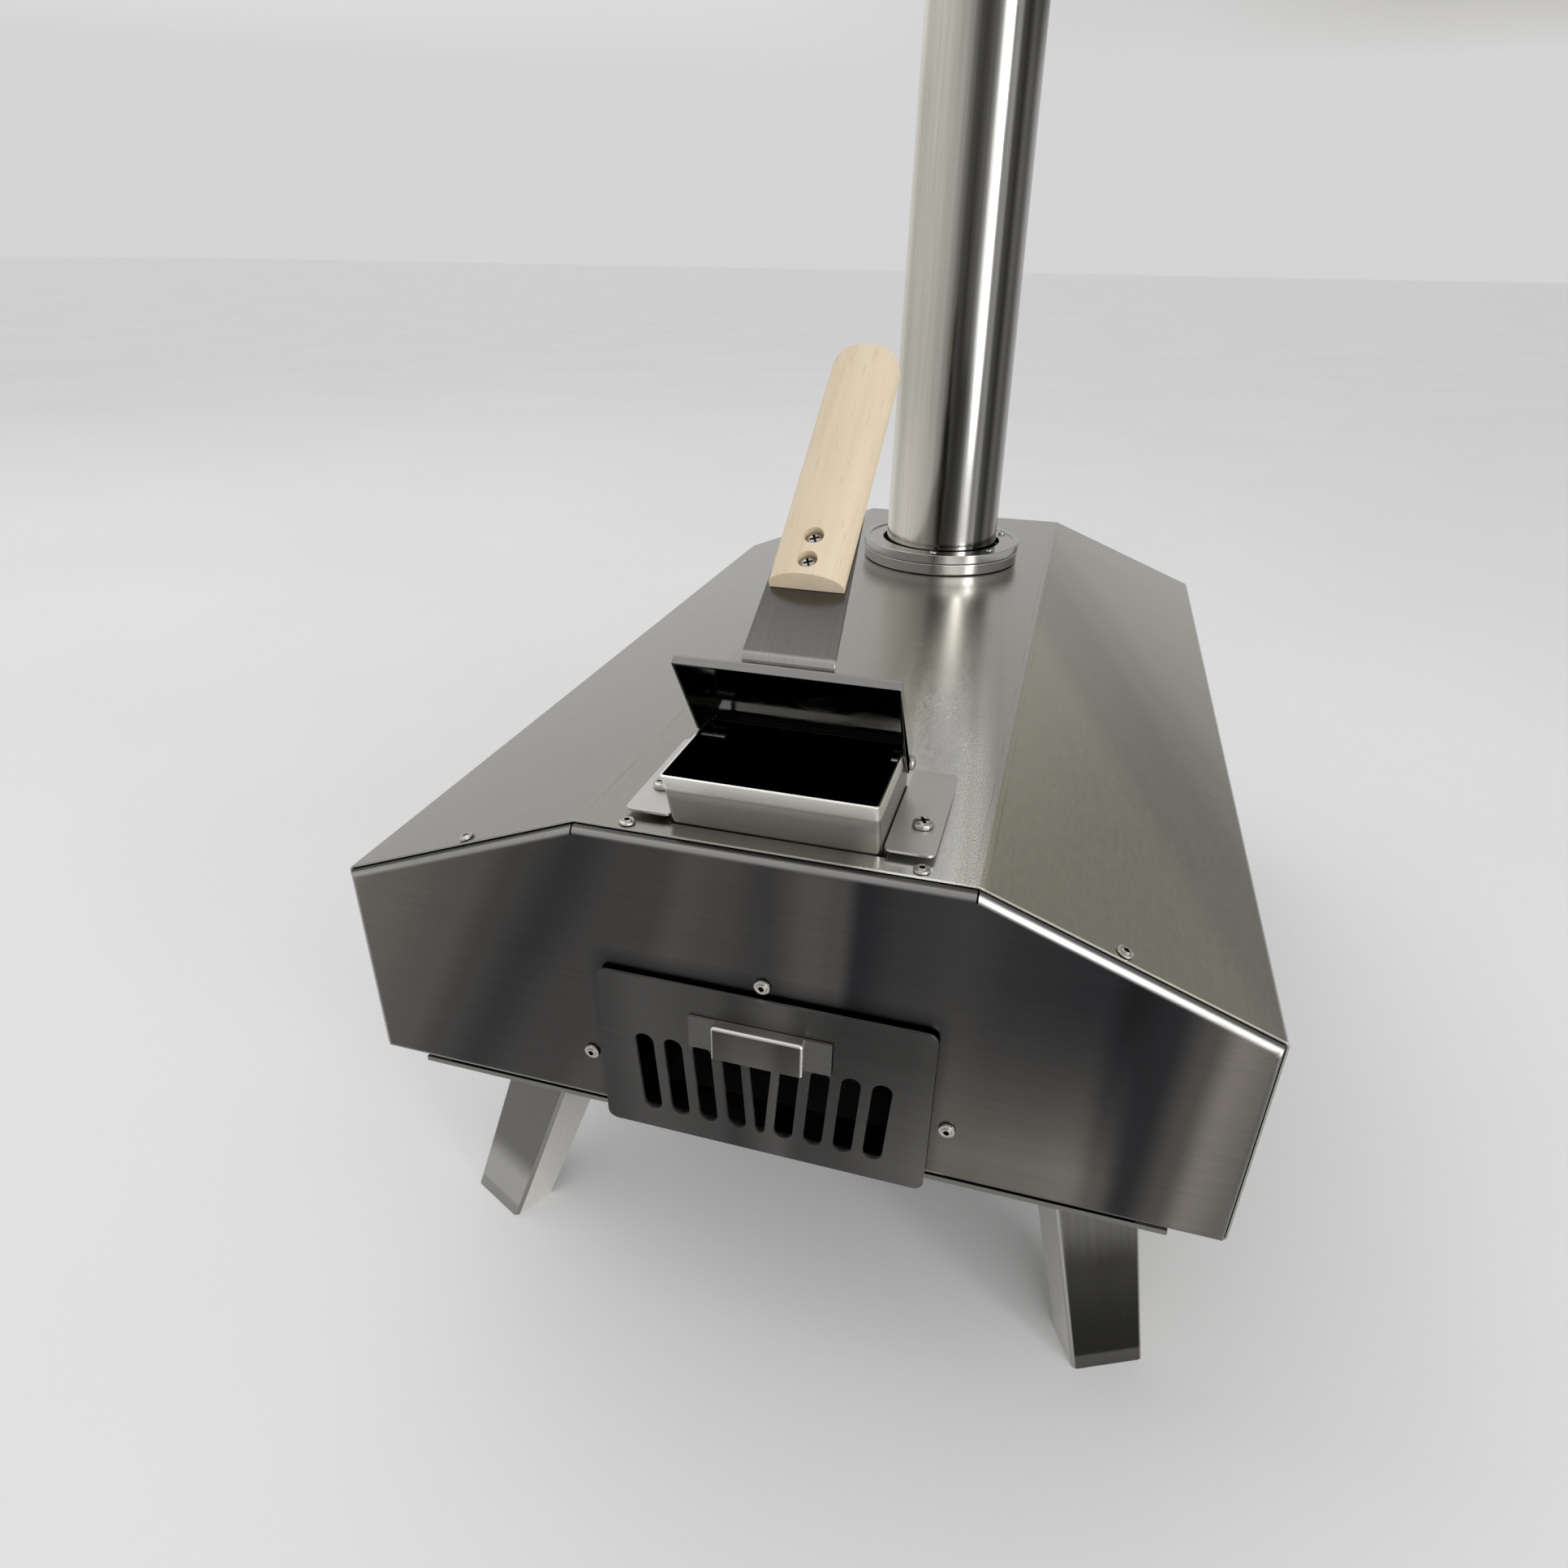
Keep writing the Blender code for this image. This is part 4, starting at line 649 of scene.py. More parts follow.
def painted_reflection_streak(nodes, place, x, y, z):
    """The painted reflection streak's light, brighter toward the chute and speckled by the brushing."""
    away = nodes.minus(STREAK_START, y)
    middle = nodes.plus(nodes.times(away, STREAK_LEAN), STREAK_SIDE)
    across = nodes.spread(nodes.size(nodes.minus(x, middle)), 0.0, STREAK_HALF)
    reach = nodes.ramp(nodes.spread(away, -0.03, 0.30), STREAK_DEPTHS)
    on_top = nodes.spread(z, level(0.147), level(0.148))
    light = nodes.times(nodes.times(nodes.ramp(across, STREAK_EDGE), reach), on_top)
    speck = nodes.grain(place, (700.0, 2200.0, 2200.0), 2.0, 0.6)
    return nodes.times(light, nodes.spread(speck, 0.3, 0.7, 0.20, 1.25))


def flue_painted_reflections(centre):
    """Painted reflections: upright light and dark bands round a polished tube, a little warmer on one side.
    """
    def painted_light(nodes, base, place):
        x, y, _ = nodes.own()
        share = nodes.heading(nodes.minus(x, centre[0]), nodes.minus(centre[1], y))
        warm = nodes.mix(nodes.spread(share, 0.46, 0.55), (1.03, 1.0, 0.92, 1), (1, 1, 1, 1))
        return nodes.tinted(base, nodes.tinted(nodes.ramp(share, FLUE_REFLECTION_BANDS), warm))
    return painted_light


def leg_painted_light(web_stops, side_stops, fold_share, foot_share, outward):
    """Painted light, shade and reflection on a leg: its outer web, its sides, its folds and the strip by its
    foot, each in its own depth.
    """
    def painted_light(nodes, base, place):
        run, height, _ = nodes.parts(place)
        along = nodes.spread(run, 0.0, LEG_LENGTH)
        web = nodes.spread(height, 0.0008 - LEG_WEB, 0.0020 - LEG_WEB, 1.0, 0.0)
        strip = nodes.spread(nodes.own()[2], 0.0050, 0.0062, 1.0, 0.0)
        face = nodes.mix(strip, nodes.ramp(along, web_stops), (*[foot_share] * 3, 1))
        shares = nodes.mix(web, nodes.ramp(along, side_stops), face)
        normal = nodes.add("NewGeometry").outputs["Normal"]
        facing = nodes.vector("DOT_PRODUCT", normal, outward).outputs[1]
        fold = nodes.times(nodes.spread(facing, 0.12, 0.30), nodes.spread(facing, 0.88, 0.98, 1.0, 0.0))
        return nodes.tinted(base, nodes.mix(fold, shares, (*[fold_share] * 3, 1)))
    return painted_light


def lip_painted_light(nodes, base, place):
    """Painted highlight on the chute's turned-out lip, and painted shade on its walls."""
    share = nodes.spread(nodes.own()[2], level(0.1664), level(0.1680))
    return nodes.tinted(base, nodes.mix(share, (0.80, 0.79, 0.77, 1), (2.4, 2.36, 2.3, 1)))


def strap_painted_light(nodes, base, place):
    """Painted highlight on the strap's fold, fading to painted shade up its flat."""
    along = nodes.parts(place)[0]
    fold = nodes.spread(along, STRAP_RADIUS - 0.001, STRAP_RADIUS, 2.6, 1.0)
    fade = nodes.spread(along, STRAP_RADIUS, 0.03, 1.15, 0.85)
    return nodes.shaded(base, nodes.times(fold, fade))


def dark_mirror(name, colour=(0.02, 0.02, 0.021), roughness=0.08):
    """Near-black mirror steel, as painted shade inside the hopper and under its lid, that still mirrors what
    is round it.
    """
    material, nodes, shader = fresh(name)
    place = nodes.place()
    smudge = nodes.group("handling_marks", Place=place, Size=34.0)["Smudge"]
    brushed = nodes.group("brushed_grain", Place=place, Length=30.0, Fineness=600.0)
    specks = nodes.spread(nodes.noise(place, 900.0, 2.0, 0.6), 0.68, 0.74)
    shade = nodes.stained(specks, 0.25, (*colour, 1), (0.2, 0.18, 0.16, 1))
    shade = nodes.stained(smudge, 0.35, shade, (0.05, 0.047, 0.043, 1))
    rough = nodes.plus(nodes.times(smudge, 0.22), roughness)
    nodes.coat(shader, shade, rough, brushed["Streaks"], 0.02, 0.0001)
    shader["Metallic"].default_value = 1.0
    return material


# Wood, plated fasteners, stone, fibre and paint

def pale_wood(name, colour, turn):
    """Sanded unvarnished wood, cream with faint flecks, a little darker in its early growth."""
    material, nodes, shader = fresh(name)
    place = nodes.place(turn)
    wood = nodes.group("wood_figure", Place=place)
    early = nodes.tinted((*colour, 1), (0.90, 0.84, 0.74, 1))
    shade = nodes.stained(wood["Figure"], 0.75, (*colour, 1), early)
    shade = nodes.stained(wood["Fleck"], 0.45, shade, (0.52, 0.37, 0.22, 1))
    shade = nodes.stained(wood["Pores"], 0.10, shade, (0.60, 0.47, 0.32, 1))
    worn = nodes.spread(nodes.noise(place, 40.0, 3.0), 0.4, 0.7)
    shade = nodes.stained(worn, 0.12, shade, (0.80, 0.69, 0.53, 1))
    height = nodes.plus(nodes.times(wood["Pores"], 0.5), wood["Figure"])
    nodes.coat(shader, shade, nodes.spread(wood["Figure"], 0.0, 1.0, 0.48, 0.62), height, 0.25, 0.0002)
    shader["Specular IOR Level"].default_value = 0.35
    return material


def bright_plate(name, colour):
    """Nickel-plated fasteners with slight tarnish and fine turning marks."""
    material, nodes, shader = fresh(name)
    place = nodes.place()
    tarnish = nodes.spread(nodes.noise(place, 240.0, 4.0, 0.6), 0.42, 0.68)
    shade = nodes.stained(tarnish, 0.5, (*colour, 1), (0.40, 0.38, 0.34, 1))
    rough = nodes.spread(tarnish, 0.0, 1.0, 0.16, 0.34)
    nodes.coat(shader, shade, rough, nodes.noise(place, 2600.0), 0.12, 0.00005)
    shader["Metallic"].default_value = 1.0
    return material


def fired_stone(name, colour):
    """Pressed cordierite: sandy ground with dark and pale grains and open pores."""
    material, nodes, shader = fresh(name)
    place = nodes.place()
    grains = nodes.add("TexVoronoi", {"feature": "F1"}, Vector=place, Scale=520.0).outputs["Distance"]
    dark = nodes.spread(nodes.noise(place, 420.0, 3.0, 0.6), 0.58, 0.70)
    cloud = nodes.spread(nodes.noise(place, 14.0, 5.0, 0.6), 0.3, 0.7)
    warm = nodes.mix(cloud, (*colour, 1), (0.50, 0.40, 0.28, 1))
    shade = nodes.stained(dark, 0.6, warm, (0.20, 0.15, 0.11, 1))
    shade = nodes.mix(nodes.spread(grains, 0.55, 0.8, 0.0, 0.4), shade, (0.80, 0.75, 0.64, 1))
    height = nodes.minus(nodes.noise(place, 300.0, 5.0, 0.7), dark)
    nodes.coat(shader, shade, nodes.spread(cloud, 0.0, 1.0, 0.82, 0.94), height, 0.5, 0.0004)
    return material


def ceramic_fibre(name, colour):
    """White needled blanket: matted fibres with soft hollows."""
    material, nodes, shader = fresh(name)
    place = nodes.place()
    fibres = nodes.grain(place, (180.0, 1400.0, 1400.0), 4.0, 0.7, 1.5)
    cross = nodes.grain(place, (1400.0, 160.0, 1400.0), 4.0, 0.7, 1.5)
    hollows = nodes.noise(place, 60.0, 4.0)
    mat = nodes.reckon("MAXIMUM", fibres, cross)
    shade = nodes.mix(nodes.spread(mat, 0.35, 0.8), (0.70, 0.68, 0.63, 1), (*colour, 1))
    height = nodes.plus(mat, nodes.times(hollows, 2.0))
    nodes.coat(shader, shade, nodes.spread(hollows, 0.2, 0.8, 0.88, 0.98), height, 0.7, 0.0008)
    return material


def mottled_paint(name, colour, second, scale, roughness):
    """Plain pale studio surface with the faintest variation."""
    material, nodes, shader = fresh(name)
    cloud = nodes.spread(nodes.noise(nodes.place(), scale, 4.0), 0.3, 0.7)
    nodes.feed(shader["Base Color"], nodes.mix(cloud, (*colour, 1), (*second, 1)))
    shader["Roughness"].default_value = roughness
    shader["Specular IOR Level"].default_value = 0.2
    return material


# Settings shown in the sidebar

def length_setting(name, text, default):
    return FloatProperty(name=name, description=text, default=default, min=0.0, max=1.0, unit="LENGTH",
                         subtype="DISTANCE", precision=5)


def colour_setting(name, text, default):
    return FloatVectorProperty(name=name, description=text, default=default, size=3, min=0.0, max=1.0,
                               subtype="COLOR")


class OvenCasingSettings(bpy.types.PropertyGroup):
    sheet: length_setting("Sheet", "Thickness of the casing's sheet steel", 0.001)
    side_height: length_setting("Side height", "Height of the upright sides", 0.1043)
    roof_height: length_setting("Roof height", "Height of the flat top above the underside", 0.1484)
    roof_flat: length_setting("Flat top width", "Width of the flat top between the ridges", 0.1616)
    body_length: length_setting("Body length", "Length of the casing from rear to front", 0.597)
    fold_radius: length_setting("Fold radius", "Radius of the shell's folds", 0.0026)
    rim_radius: length_setting("Rim radius", "Radius where the end panels turn back", 0.0040)


class OvenBurnerSettings(bpy.types.PropertyGroup):
    slot_width: length_setting("Slot width", "Width of the hatch's air slots", 0.0086)
    slot_pitch: length_setting("Slot pitch", "Distance between neighbouring air slots", 0.0132)
    corner_radius: length_setting("Corner radius", "Radius of the hatch plate's corners", 0.0045)
    slots_each_side: IntProperty(name="Slots each side", default=4, min=1, max=6,
                                 description="Leaning slots on each side of the middle one")


class OvenHopperSettings(bpy.types.PropertyGroup):
    corner_radius: length_setting("Corner radius", "Radius of the chute's upright corners", 0.0022)
    fold_radius: length_setting("Fold radius", "Radius of the lid's folded skirts", 0.0012)


class OvenChimneySettings(bpy.types.PropertyGroup):
    steps: IntProperty(name="Steps", description="Facets round the chimney", default=128, min=32, max=256)
    rim_radius: length_setting("Rim radius", "Rounding of the collar rings' edges", 0.0010)


class OvenGripSettings(bpy.types.PropertyGroup):
    edge_radius: length_setting("Edge radius", "Rounding of the wooden grips' edges", 0.0008)
    width: length_setting("Width", "Width of the wooden grips", 0.030)
    thickness: length_setting("Thickness", "Thickness of the wooden grips", 0.010)


class OvenLegSettings(bpy.types.PropertyGroup):
    fold_radius: length_setting("Fold radius", "Radius of the legs' folded corners", 0.0026)


class OvenFinishSettings(bpy.types.PropertyGroup):
    casing: colour_setting("Casing steel", "Colour of the wrapped shell", (0.415, 0.405, 0.38))
    # The end panels' and the hatch's steel is set dark, as painted dark reflection
    panel: colour_setting("Panel steel", "Colour of the end panels", (0.222, 0.219, 0.215))
    hatch: colour_setting("Hatch steel", "Colour of the burner hatch", (0.295, 0.289, 0.281))
    hopper: colour_setting("Hopper steel", "Colour of the chute, plates and lid", (0.43, 0.42, 0.405))
    collar: colour_setting("Collar steel", "Colour of the chimney's collars", (0.42, 0.415, 0.40))
    tube: colour_setting("Polished tube", "Colour of the chimney", (0.70, 0.69, 0.66))
    leg: colour_setting("Leg steel", "Colour of the folding legs", (0.46, 0.455, 0.43))
    chamber: colour_setting("Chamber steel", "Colour of the steel inside", (0.40, 0.39, 0.37))
    fastener: colour_setting("Bright plate", "Colour of the rivets and screws", (0.52, 0.505, 0.475))
    wood: colour_setting("Pale wood", "Colour of the wooden grips", (0.78, 0.667, 0.505))
    stone: colour_setting("Fired stone", "Colour of the baking stone", (0.62, 0.53, 0.41))
    fibre: colour_setting("Ceramic fibre", "Colour of the insulation", (0.86, 0.85, 0.81))


class OvenStageSettings(bpy.types.PropertyGroup):
    floor: colour_setting("Floor", "Colour of the floor", (0.91, 0.91, 0.915))
    sky: colour_setting("Backdrop", "Colour of the backdrop", (0.86, 0.86, 0.865))
    lens: FloatProperty(name="Lens", description="Focal length of the camera", default=23.01, min=10,
                        max=200, unit="CAMERA")


# Casing

def body_outline(sizes, inset, floor):
    """Six-sided cross-section of the body, moved inward by an inset."""
    roof_half = sizes.roof_flat / 2
    slope = math.atan2(sizes.roof_height - sizes.side_height, BODY_HALF - roof_half)
    side = BODY_HALF - inset
    eave = sizes.side_height - inset * math.tan((math.pi / 2 - slope) / 2)
    ridge = roof_half - inset * math.tan(slope / 2)
    top = sizes.roof_height - inset
    return [(-side, floor), (-side, eave), (-ridge, top), (ridge, top), (side, eave), (side, floor)]


def end_panel(name, sizes, face_place, inward):
    """Six-sided face whose rim is bent back into the shell."""
    inset, rim_depth = sizes.sheet + FIT, 0.0122
    bm = bmesh.new()
    faces = outline_face(bm, body_outline(sizes, inset, inset), "Y", face_place)
    side = bmesh.ops.extrude_face_region(bm, geom=faces)
    bmesh.ops.translate(bm, vec=(0, inward * rim_depth, 0), verts=moved(side["geom"]))
    bmesh.ops.delete(bm, geom=moved(side["geom"], bmesh.types.BMFace), context="FACES_ONLY")
    bmesh.ops.recalc_face_normals(bm, faces=bm.faces)
    rim = [edge for edge in bm.edges if all(near(vert.co.y, face_place, FIT) for vert in edge.verts)]
    round_off(bm, rim, sizes.rim_radius, 8)
    for face in bm.faces:
        face.normal_update()
    flat = max(bm.faces, key=lambda face: face.calc_area())
    if flat.normal.y * inward > 0:
        bmesh.ops.reverse_faces(bm, faces=bm.faces)
    return wall(as_object(bm, name, HOME), sizes.sheet)


class OVEN_OT_casing(bpy.types.Operator):
    """Wrap the shell round the body and close both ends and the bottom"""
    bl_idname = "oven.build_casing"
    bl_label = "Build casing"

    def execute(self, context):
        sizes, colours = context.scene.oven_casing, context.scene.oven_finish
        casing = brushed_metal("casing_steel", colours.casing, 0.25, turn=(0, 0, math.pi / 2),
                               anisotropy=0.35, grain=0.7, smudges=0.25, length=420.0, fineness=2600.0,
                               painted_light=shell_marks_and_painted_light)
        panel = brushed_metal("panel_steel", colours.panel, 0.21, anisotropy=0.45, grain=1.1,
                              painted_light=end_panel_painted_light)
        # The bottom plate's steel is a darker copy of the casing's, as painted shade underneath
        under = brushed_metal("bottom_steel_painted_shade", deeper(colours.casing, 0.5), 0.30, grain=0.8, smudges=0.8)
        self.build_shell(sizes, casing)
        self.build_rear(sizes, panel)
        self.build_front(sizes, panel)
        finish_copy("bottom_cover", "bottom_plate", "oven_body", under)
        return {"FINISHED"}

    def build_shell(self, sizes, casing):
        hem, setback = 0.035, 0.0035
        hem_end = BODY_HALF - hem
        path = [(hem_end, 0), *reversed(body_outline(sizes, 0, 0)), (-hem_end, 0)]
        shell = folded("wrapped_shell", path, "Y", setback, sizes.body_length - setback, sizes.fold_radius,
                       sizes.sheet)
        half, back, front, hole_radius = 0.0446, 0.0127, 0.0725, 0.0426
        cut(shell, slab("chute_opening", box_outline((-half, back), (half, front)), "Z", *ROOF_CUT))
        start, end = ((0, CHIMNEY_RUN, height) for height in ROOF_CUT)
        cut(shell, bar("chimney_opening", hole_radius, start, end, 64))
        finish(soften(shell), "outer_shell", "oven_body", casing)

    def build_rear(self, sizes, panel):
        """Rear panel with the tray's opening and a mitre in the rim at each ridge."""
        half, low, high, corner_radius = 0.0587, 0.0066, 0.068, 0.002
        rear = end_panel("rear_end_panel", sizes, 0.0, 1)
        opening = box_outline((-half, low), (half, high))
        cut(rear, slab("tray_opening", opening, "Y", -OVERRUN, OVERRUN, corner_radius))
        mitre_half, mitre_depth, mitre_end = 0.0004, 0.0052, 0.014
        for side in (-1, 1):
            ridge = side * sizes.roof_flat / 2
            notch = box_outline((ridge - mitre_half, sizes.roof_height - mitre_depth),
                                (ridge + mitre_half, sizes.roof_height + OVERRUN))
            cut(rear, slab("mitre", notch, "Y", -OVERRUN, mitre_end))
        finish(soften(rear), "rear_panel", "oven_body", panel)

    def build_front(self, sizes, panel):
        """Front panel with the oven's mouth."""
        face = sizes.body_length
        half, low, high, corner_radius = 0.168, 0.022, 0.096, 0.006
        front = end_panel("front_end_panel", sizes, face, -1)
        mouth = box_outline((-half, low), (half, high))
        cut(front, slab("mouth", mouth, "Y", face - OVERRUN, face + OVERRUN, corner_radius, 10))
        finish(soften(front), "front_panel", "oven_body", panel)


# Chamber

class OVEN_OT_chamber(bpy.types.Operator):
    """Finish the baking chamber's liner, blanket, floor, baffle and stone"""
    bl_idname = "oven.build_chamber"
    bl_label = "Build chamber"

    def execute(self, context):
        colours = context.scene.oven_finish
        steel = brushed_metal("chamber_steel", deeper(colours.chamber, 0.3), 0.42, soot=0.5, smudges=1.0)
        burnt = brushed_metal("burnt_steel", deeper(colours.chamber, 0.15), 0.5, soot=0.95, smudges=1.0)
        stone = fired_stone("fired_stone", colours.stone)
        fibre = ceramic_fibre("ceramic_blanket", colours.fibre)
        soft_edge = 0.0012
        for node, name, slot, material, width in (
                ("inner_liner", "chamber_hood", "chamber_steel", steel, SHEET_EDGE),
                ("chamber_floor", "chamber_floor_plate", "chamber_steel", steel, SHEET_EDGE),
                ("flame_baffle", "flame_plate", "chamber_steel", burnt, SHEET_EDGE),
                ("insulation_blanket", "fibre_blanket", "ceramic_blanket", fibre, soft_edge),
                ("baking_stone", "pizza_stone", "fired_stone", stone, soft_edge)):
            finish_copy(node, name, "oven_body", material, width)
        return {"FINISHED"}


# Burner drawer

class OVEN_OT_burner(bpy.types.Operator):
    """Build the burner drawer with its slotted hatch, pull, tray and grate"""
    bl_idname = "oven.build_burner"
    bl_label = "Build burner drawer"

    def execute(self, context):
        sizes, colours = context.scene.oven_burner, context.scene.oven_finish
        # Both steels carry painted reflections and a painted highlight on their edges; the pull's is a
        # darker copy of the hatch's, as painted shade
        steel = brushed_metal("hatch_steel", colours.hatch, 0.30, anisotropy=0.3, smudges=0.8, grain=1.1,
                              painted_light=hatch_painted_light, edge_highlight=(0.75, 0.73, 0.70))
        bright = brushed_metal("pull_steel", deeper(colours.hatch, 0.5), 0.28, anisotropy=0.3,
                               painted_light=pull_painted_light, edge_highlight=(0.85, 0.83, 0.79))
        # The tray, grate and runner are sooty, and also darkened near to black as painted shade inside the
        # drawer
        sooty = brushed_metal("tray_steel", deeper(colours.chamber, 0.015), 0.5, soot=0.6)
        self.build_plate(sizes, steel)
        self.build_pull(bright)
        for node, name, body in (("burner_tray", "ash_tray", "burner_drawer"),
                                 ("fuel_grate", "pellet_grate", "burner_drawer"),
                                 ("tray_cradle", "tray_runner", "oven_body")):
            finish_copy(node, name, body, sooty)
        return {"FINISHED"}

    def build_plate(self, sizes, steel):
        front, back, low, high = -0.0036, -0.0021, -0.0042, 0.0811
        plate = slab("slotted_hatch", box_outline((-HATCH_HALF, low), (HATCH_HALF, high)), "Y", front, back,
                     sizes.corner_radius, 8)
        for outline, radii in self.slots(sizes):
            cut(plate, slab("slot", outline, "Y", front - OVERRUN, back + OVERRUN, radii, 8))
        finish(soften(plate, 0.00045, 3), "hatch_plate", "burner_drawer", steel)

    def slots(self, sizes):
        """Outlines of the tapered middle slot and the leaning ones beside it, with their radii."""
        low, high = 0.0073, 0.0503
        foot_half, head_half = 0.0020, 0.0055
        outlines = [([(-foot_half, low), (foot_half, low), (head_half, high), (-head_half, high)],
                     [0.0018, 0.0018, 0.0050, 0.0050])]
        first_slot, lean = 0.0118, math.radians(3.9)
        shift = (high - low) / 2 * math.tan(lean)
        half = sizes.slot_width / 2 - MERGE
        for index in range(sizes.slots_each_side):
            middle = first_slot + index * sizes.slot_pitch
            for side in (-1, 1):
                foot, head = side * (middle - shift), side * (middle + shift)
                outlines.append(([(foot - half, low), (foot + half, low), (head + half, high),
                                  (head - half, high)], half * 0.98))
        return outlines

    def build_pull(self, steel):
        """Pressed pull: a box open below, with an ear on each side."""
        back, front = -0.0039, -0.0096
        low, high, half, reach, sheet = 0.0505, 0.0670, 0.0200, 0.0312, 0.0012
        press_radius, room_radius = 0.0016, 0.001
        bm = bmesh.new()
        bmesh.ops.create_cube(bm, size=1.0)
        bmesh.ops.scale(bm, vec=(half * 2, back - front, high - low), verts=bm.verts)
        bmesh.ops.translate(bm, vec=(0, (back + front) / 2, (low + high) / 2), verts=bm.verts)
        pressed = []
        for edge in bm.edges:
            places = [vert.co for vert in edge.verts]
            on_front = any(face.normal.y < -0.9 for face in edge.link_faces)
            on_top = all(place.z > high - FIT for place in places)
            at_back = all(place.y > back - FIT for place in places)
            at_foot = all(place.z < low + FIT for place in places)
            if (on_front or on_top) and not at_back and not at_foot:
                pressed.append(edge)
        round_off(bm, pressed, press_radius, 5)
        pull = solid(bm, "hatch_pull")
        for side in (-1, 1):
            first, last = sorted((side * (half - sheet), side * reach))
            cut(pull, slab("ear", box_outline((first, low), (last, high)), "Y", back - sheet, back), "UNION")
        room = box_outline((-half + sheet, low - OVERRUN), (half - sheet, high - sheet))
        cut(pull, slab("finger_room", room, "Y", front + sheet, back + OVERRUN,
                       [0.0, 0.0, room_radius, room_radius]))
        finish(soften(pull, 0.00025, 3), "hatch_handle", "burner_drawer", steel)


# Hopper

class OVEN_OT_hopper(bpy.types.Operator):
    """Build the fuel hopper's chute, its side plates and its hinged lid"""
    bl_idname = "oven.build_hopper"
    bl_label = "Build hopper"

    def execute(self, context):
        sizes, colours = context.scene.oven_hopper, context.scene.oven_finish
        # One hopper steel, a lighter copy on the side plates and a darker one on the lid, as painted light
        # and shade
        steel = brushed_metal("hopper_steel", deeper(colours.hopper, 1.5), 0.36, grain=0.5, smudges=0.3)
        funnel_steel = brushed_metal("funnel_steel", colours.hopper, 0.30, grain=0.25, smudges=0.3,
                                     painted_light=lip_painted_light)
        lid_steel = brushed_metal("lid_steel", deeper(colours.hopper, 0.72), 0.20, turn=(-LID_OPEN, 0, 0),
                                  anisotropy=0.35, grain=0.6, smudges=0.6)
        mirror = dark_mirror("hopper_mirror")
        self.build_chute(sizes, funnel_steel, mirror)
        for side in ("left", "right"):
            self.build_flange(side, steel)
        self.build_lid(sizes, lid_steel, mirror)
        return {"FINISHED"}

    def build_chute(self, sizes, steel, mirror):
        """Four-sided funnel run down from its flared rim."""
        half, back, depth, sheet = 0.0426, 0.0026, 0.0578, 0.001
        rim, bend, foot, bend_radius = 0.1745, 0.1667, 0.062, 0.0010
        flare, slope = 0.0040, math.tan(math.radians(20.0))
        bm = bmesh.new()
        start = box_outline((-half, back), (half, back + depth))
        faces = outline_face(bm, start, "Z", rim, sizes.corner_radius)
        ring = [edge for face in faces for edge in face.edges]
        bmesh.ops.delete(bm, geom=faces, context="FACES_ONLY")
        for drop, run in ((rim - bend, flare), (bend - foot, (bend - foot) * slope)):
            step = bmesh.ops.extrude_edge_only(bm, edges=ring)
            bmesh.ops.translate(bm, vec=(0, run, -drop), verts=moved(step["geom"]))
            ring = [edge for edge in moved(step["geom"], bmesh.types.BMEdge) if len(edge.link_faces) == 1]
        bmesh.ops.recalc_face_normals(bm, faces=bm.faces)
        bent = [edge for edge in bm.edges if all(near(vert.co.z, bend, MERGE) for vert in edge.verts)]
        round_off(bm, bent, bend_radius, 4)
        chute = solid(bm, "hopper_funnel")
        centre = HOME @ Vector((0, 0.045, 0.14))
        face = chute.data.polygons[0]
        if (face.center - centre).dot(face.normal) < 0:
            chute.data.flip_normals()

        def is_inside(polygon):
            """Whether a face looks toward the funnel's leaning middle."""
            drop = max(level(bend) - polygon.center.z, 0.0)
            middle = Vector((0, station(back + depth / 2 + flare + drop * slope), polygon.center.z))
            return (polygon.center - middle).dot(polygon.normal) < 0
        finish(soften(wall(chute, sheet)), "hopper_chute", "oven_body", steel)
        # The chute's inside gets the near-black mirror steel, as painted shade
        inlay(chute, mirror, is_inside)

    def build_flange(self, side, steel):
        """Side plate bent down beside the chute, its fold rounded."""
        top, inner, fold, long_run = 0.1517, 0.0430, 0.0009, 0.03

        def folds(middle, run):
            along_fold = near(middle.z, top) and near(abs(middle.x), inner) and abs(run.y) > long_run
            return fold if along_fold else 0.0
        node = "hopper_flange_" + side
        plate = copy_of(node, "hopper_plate_" + side, folds)
        finish(soften(plate), node, "oven_body", steel)

    def build_lid(self, sizes, steel, mirror):
        """Shallow folded pan; its underside and inner walls are near-black mirror steel, as painted shade.
        """
        top, half, edge, sheet = 0.0108, 0.0440, -0.0606, 0.0008
        skirt_run, edge_run = 0.01, 0.03
        back = LID_HOME.inverted()

        def folds(middle, run):
            at_side = near(abs(middle.x), half) and abs(run.y) > skirt_run
            at_edge = middle.y < edge + 0.0006 and abs(run.x) > edge_run
            return sizes.fold_radius if near(middle.z, top) and (at_side or at_edge) else 0.0

        def is_inside(polygon):
            centre = back @ polygon.center
            under = (back.to_3x3() @ polygon.normal).z < -0.7 and centre.z > top - 0.0018
            within = abs(centre.x) < half - sheet and centre.y > edge + sheet and centre.z < top - 0.0009
            return under or within
        lid = copy_of("hopper_lid", "hopper_cover", folds, LID_HOME)
        finish(soften(lid), "hopper_lid", "hopper_lid_assembly", steel)
        inlay(lid, mirror, is_inside)


# Grips

# The lid's strap in the lid's own frame: where it bends up, its bend's radius, its rise and its neck
STRAP_CORNER = (-0.0542, 0.0111)
STRAP_RADIUS = 0.0046
STRAP_RISE = math.radians(80.9)
STRAP_NECK = 0.0296

# Screws along the lid's grip, from its foot
GRIP_SCREWS = {"lower": 0.0070, "upper": 0.0185}


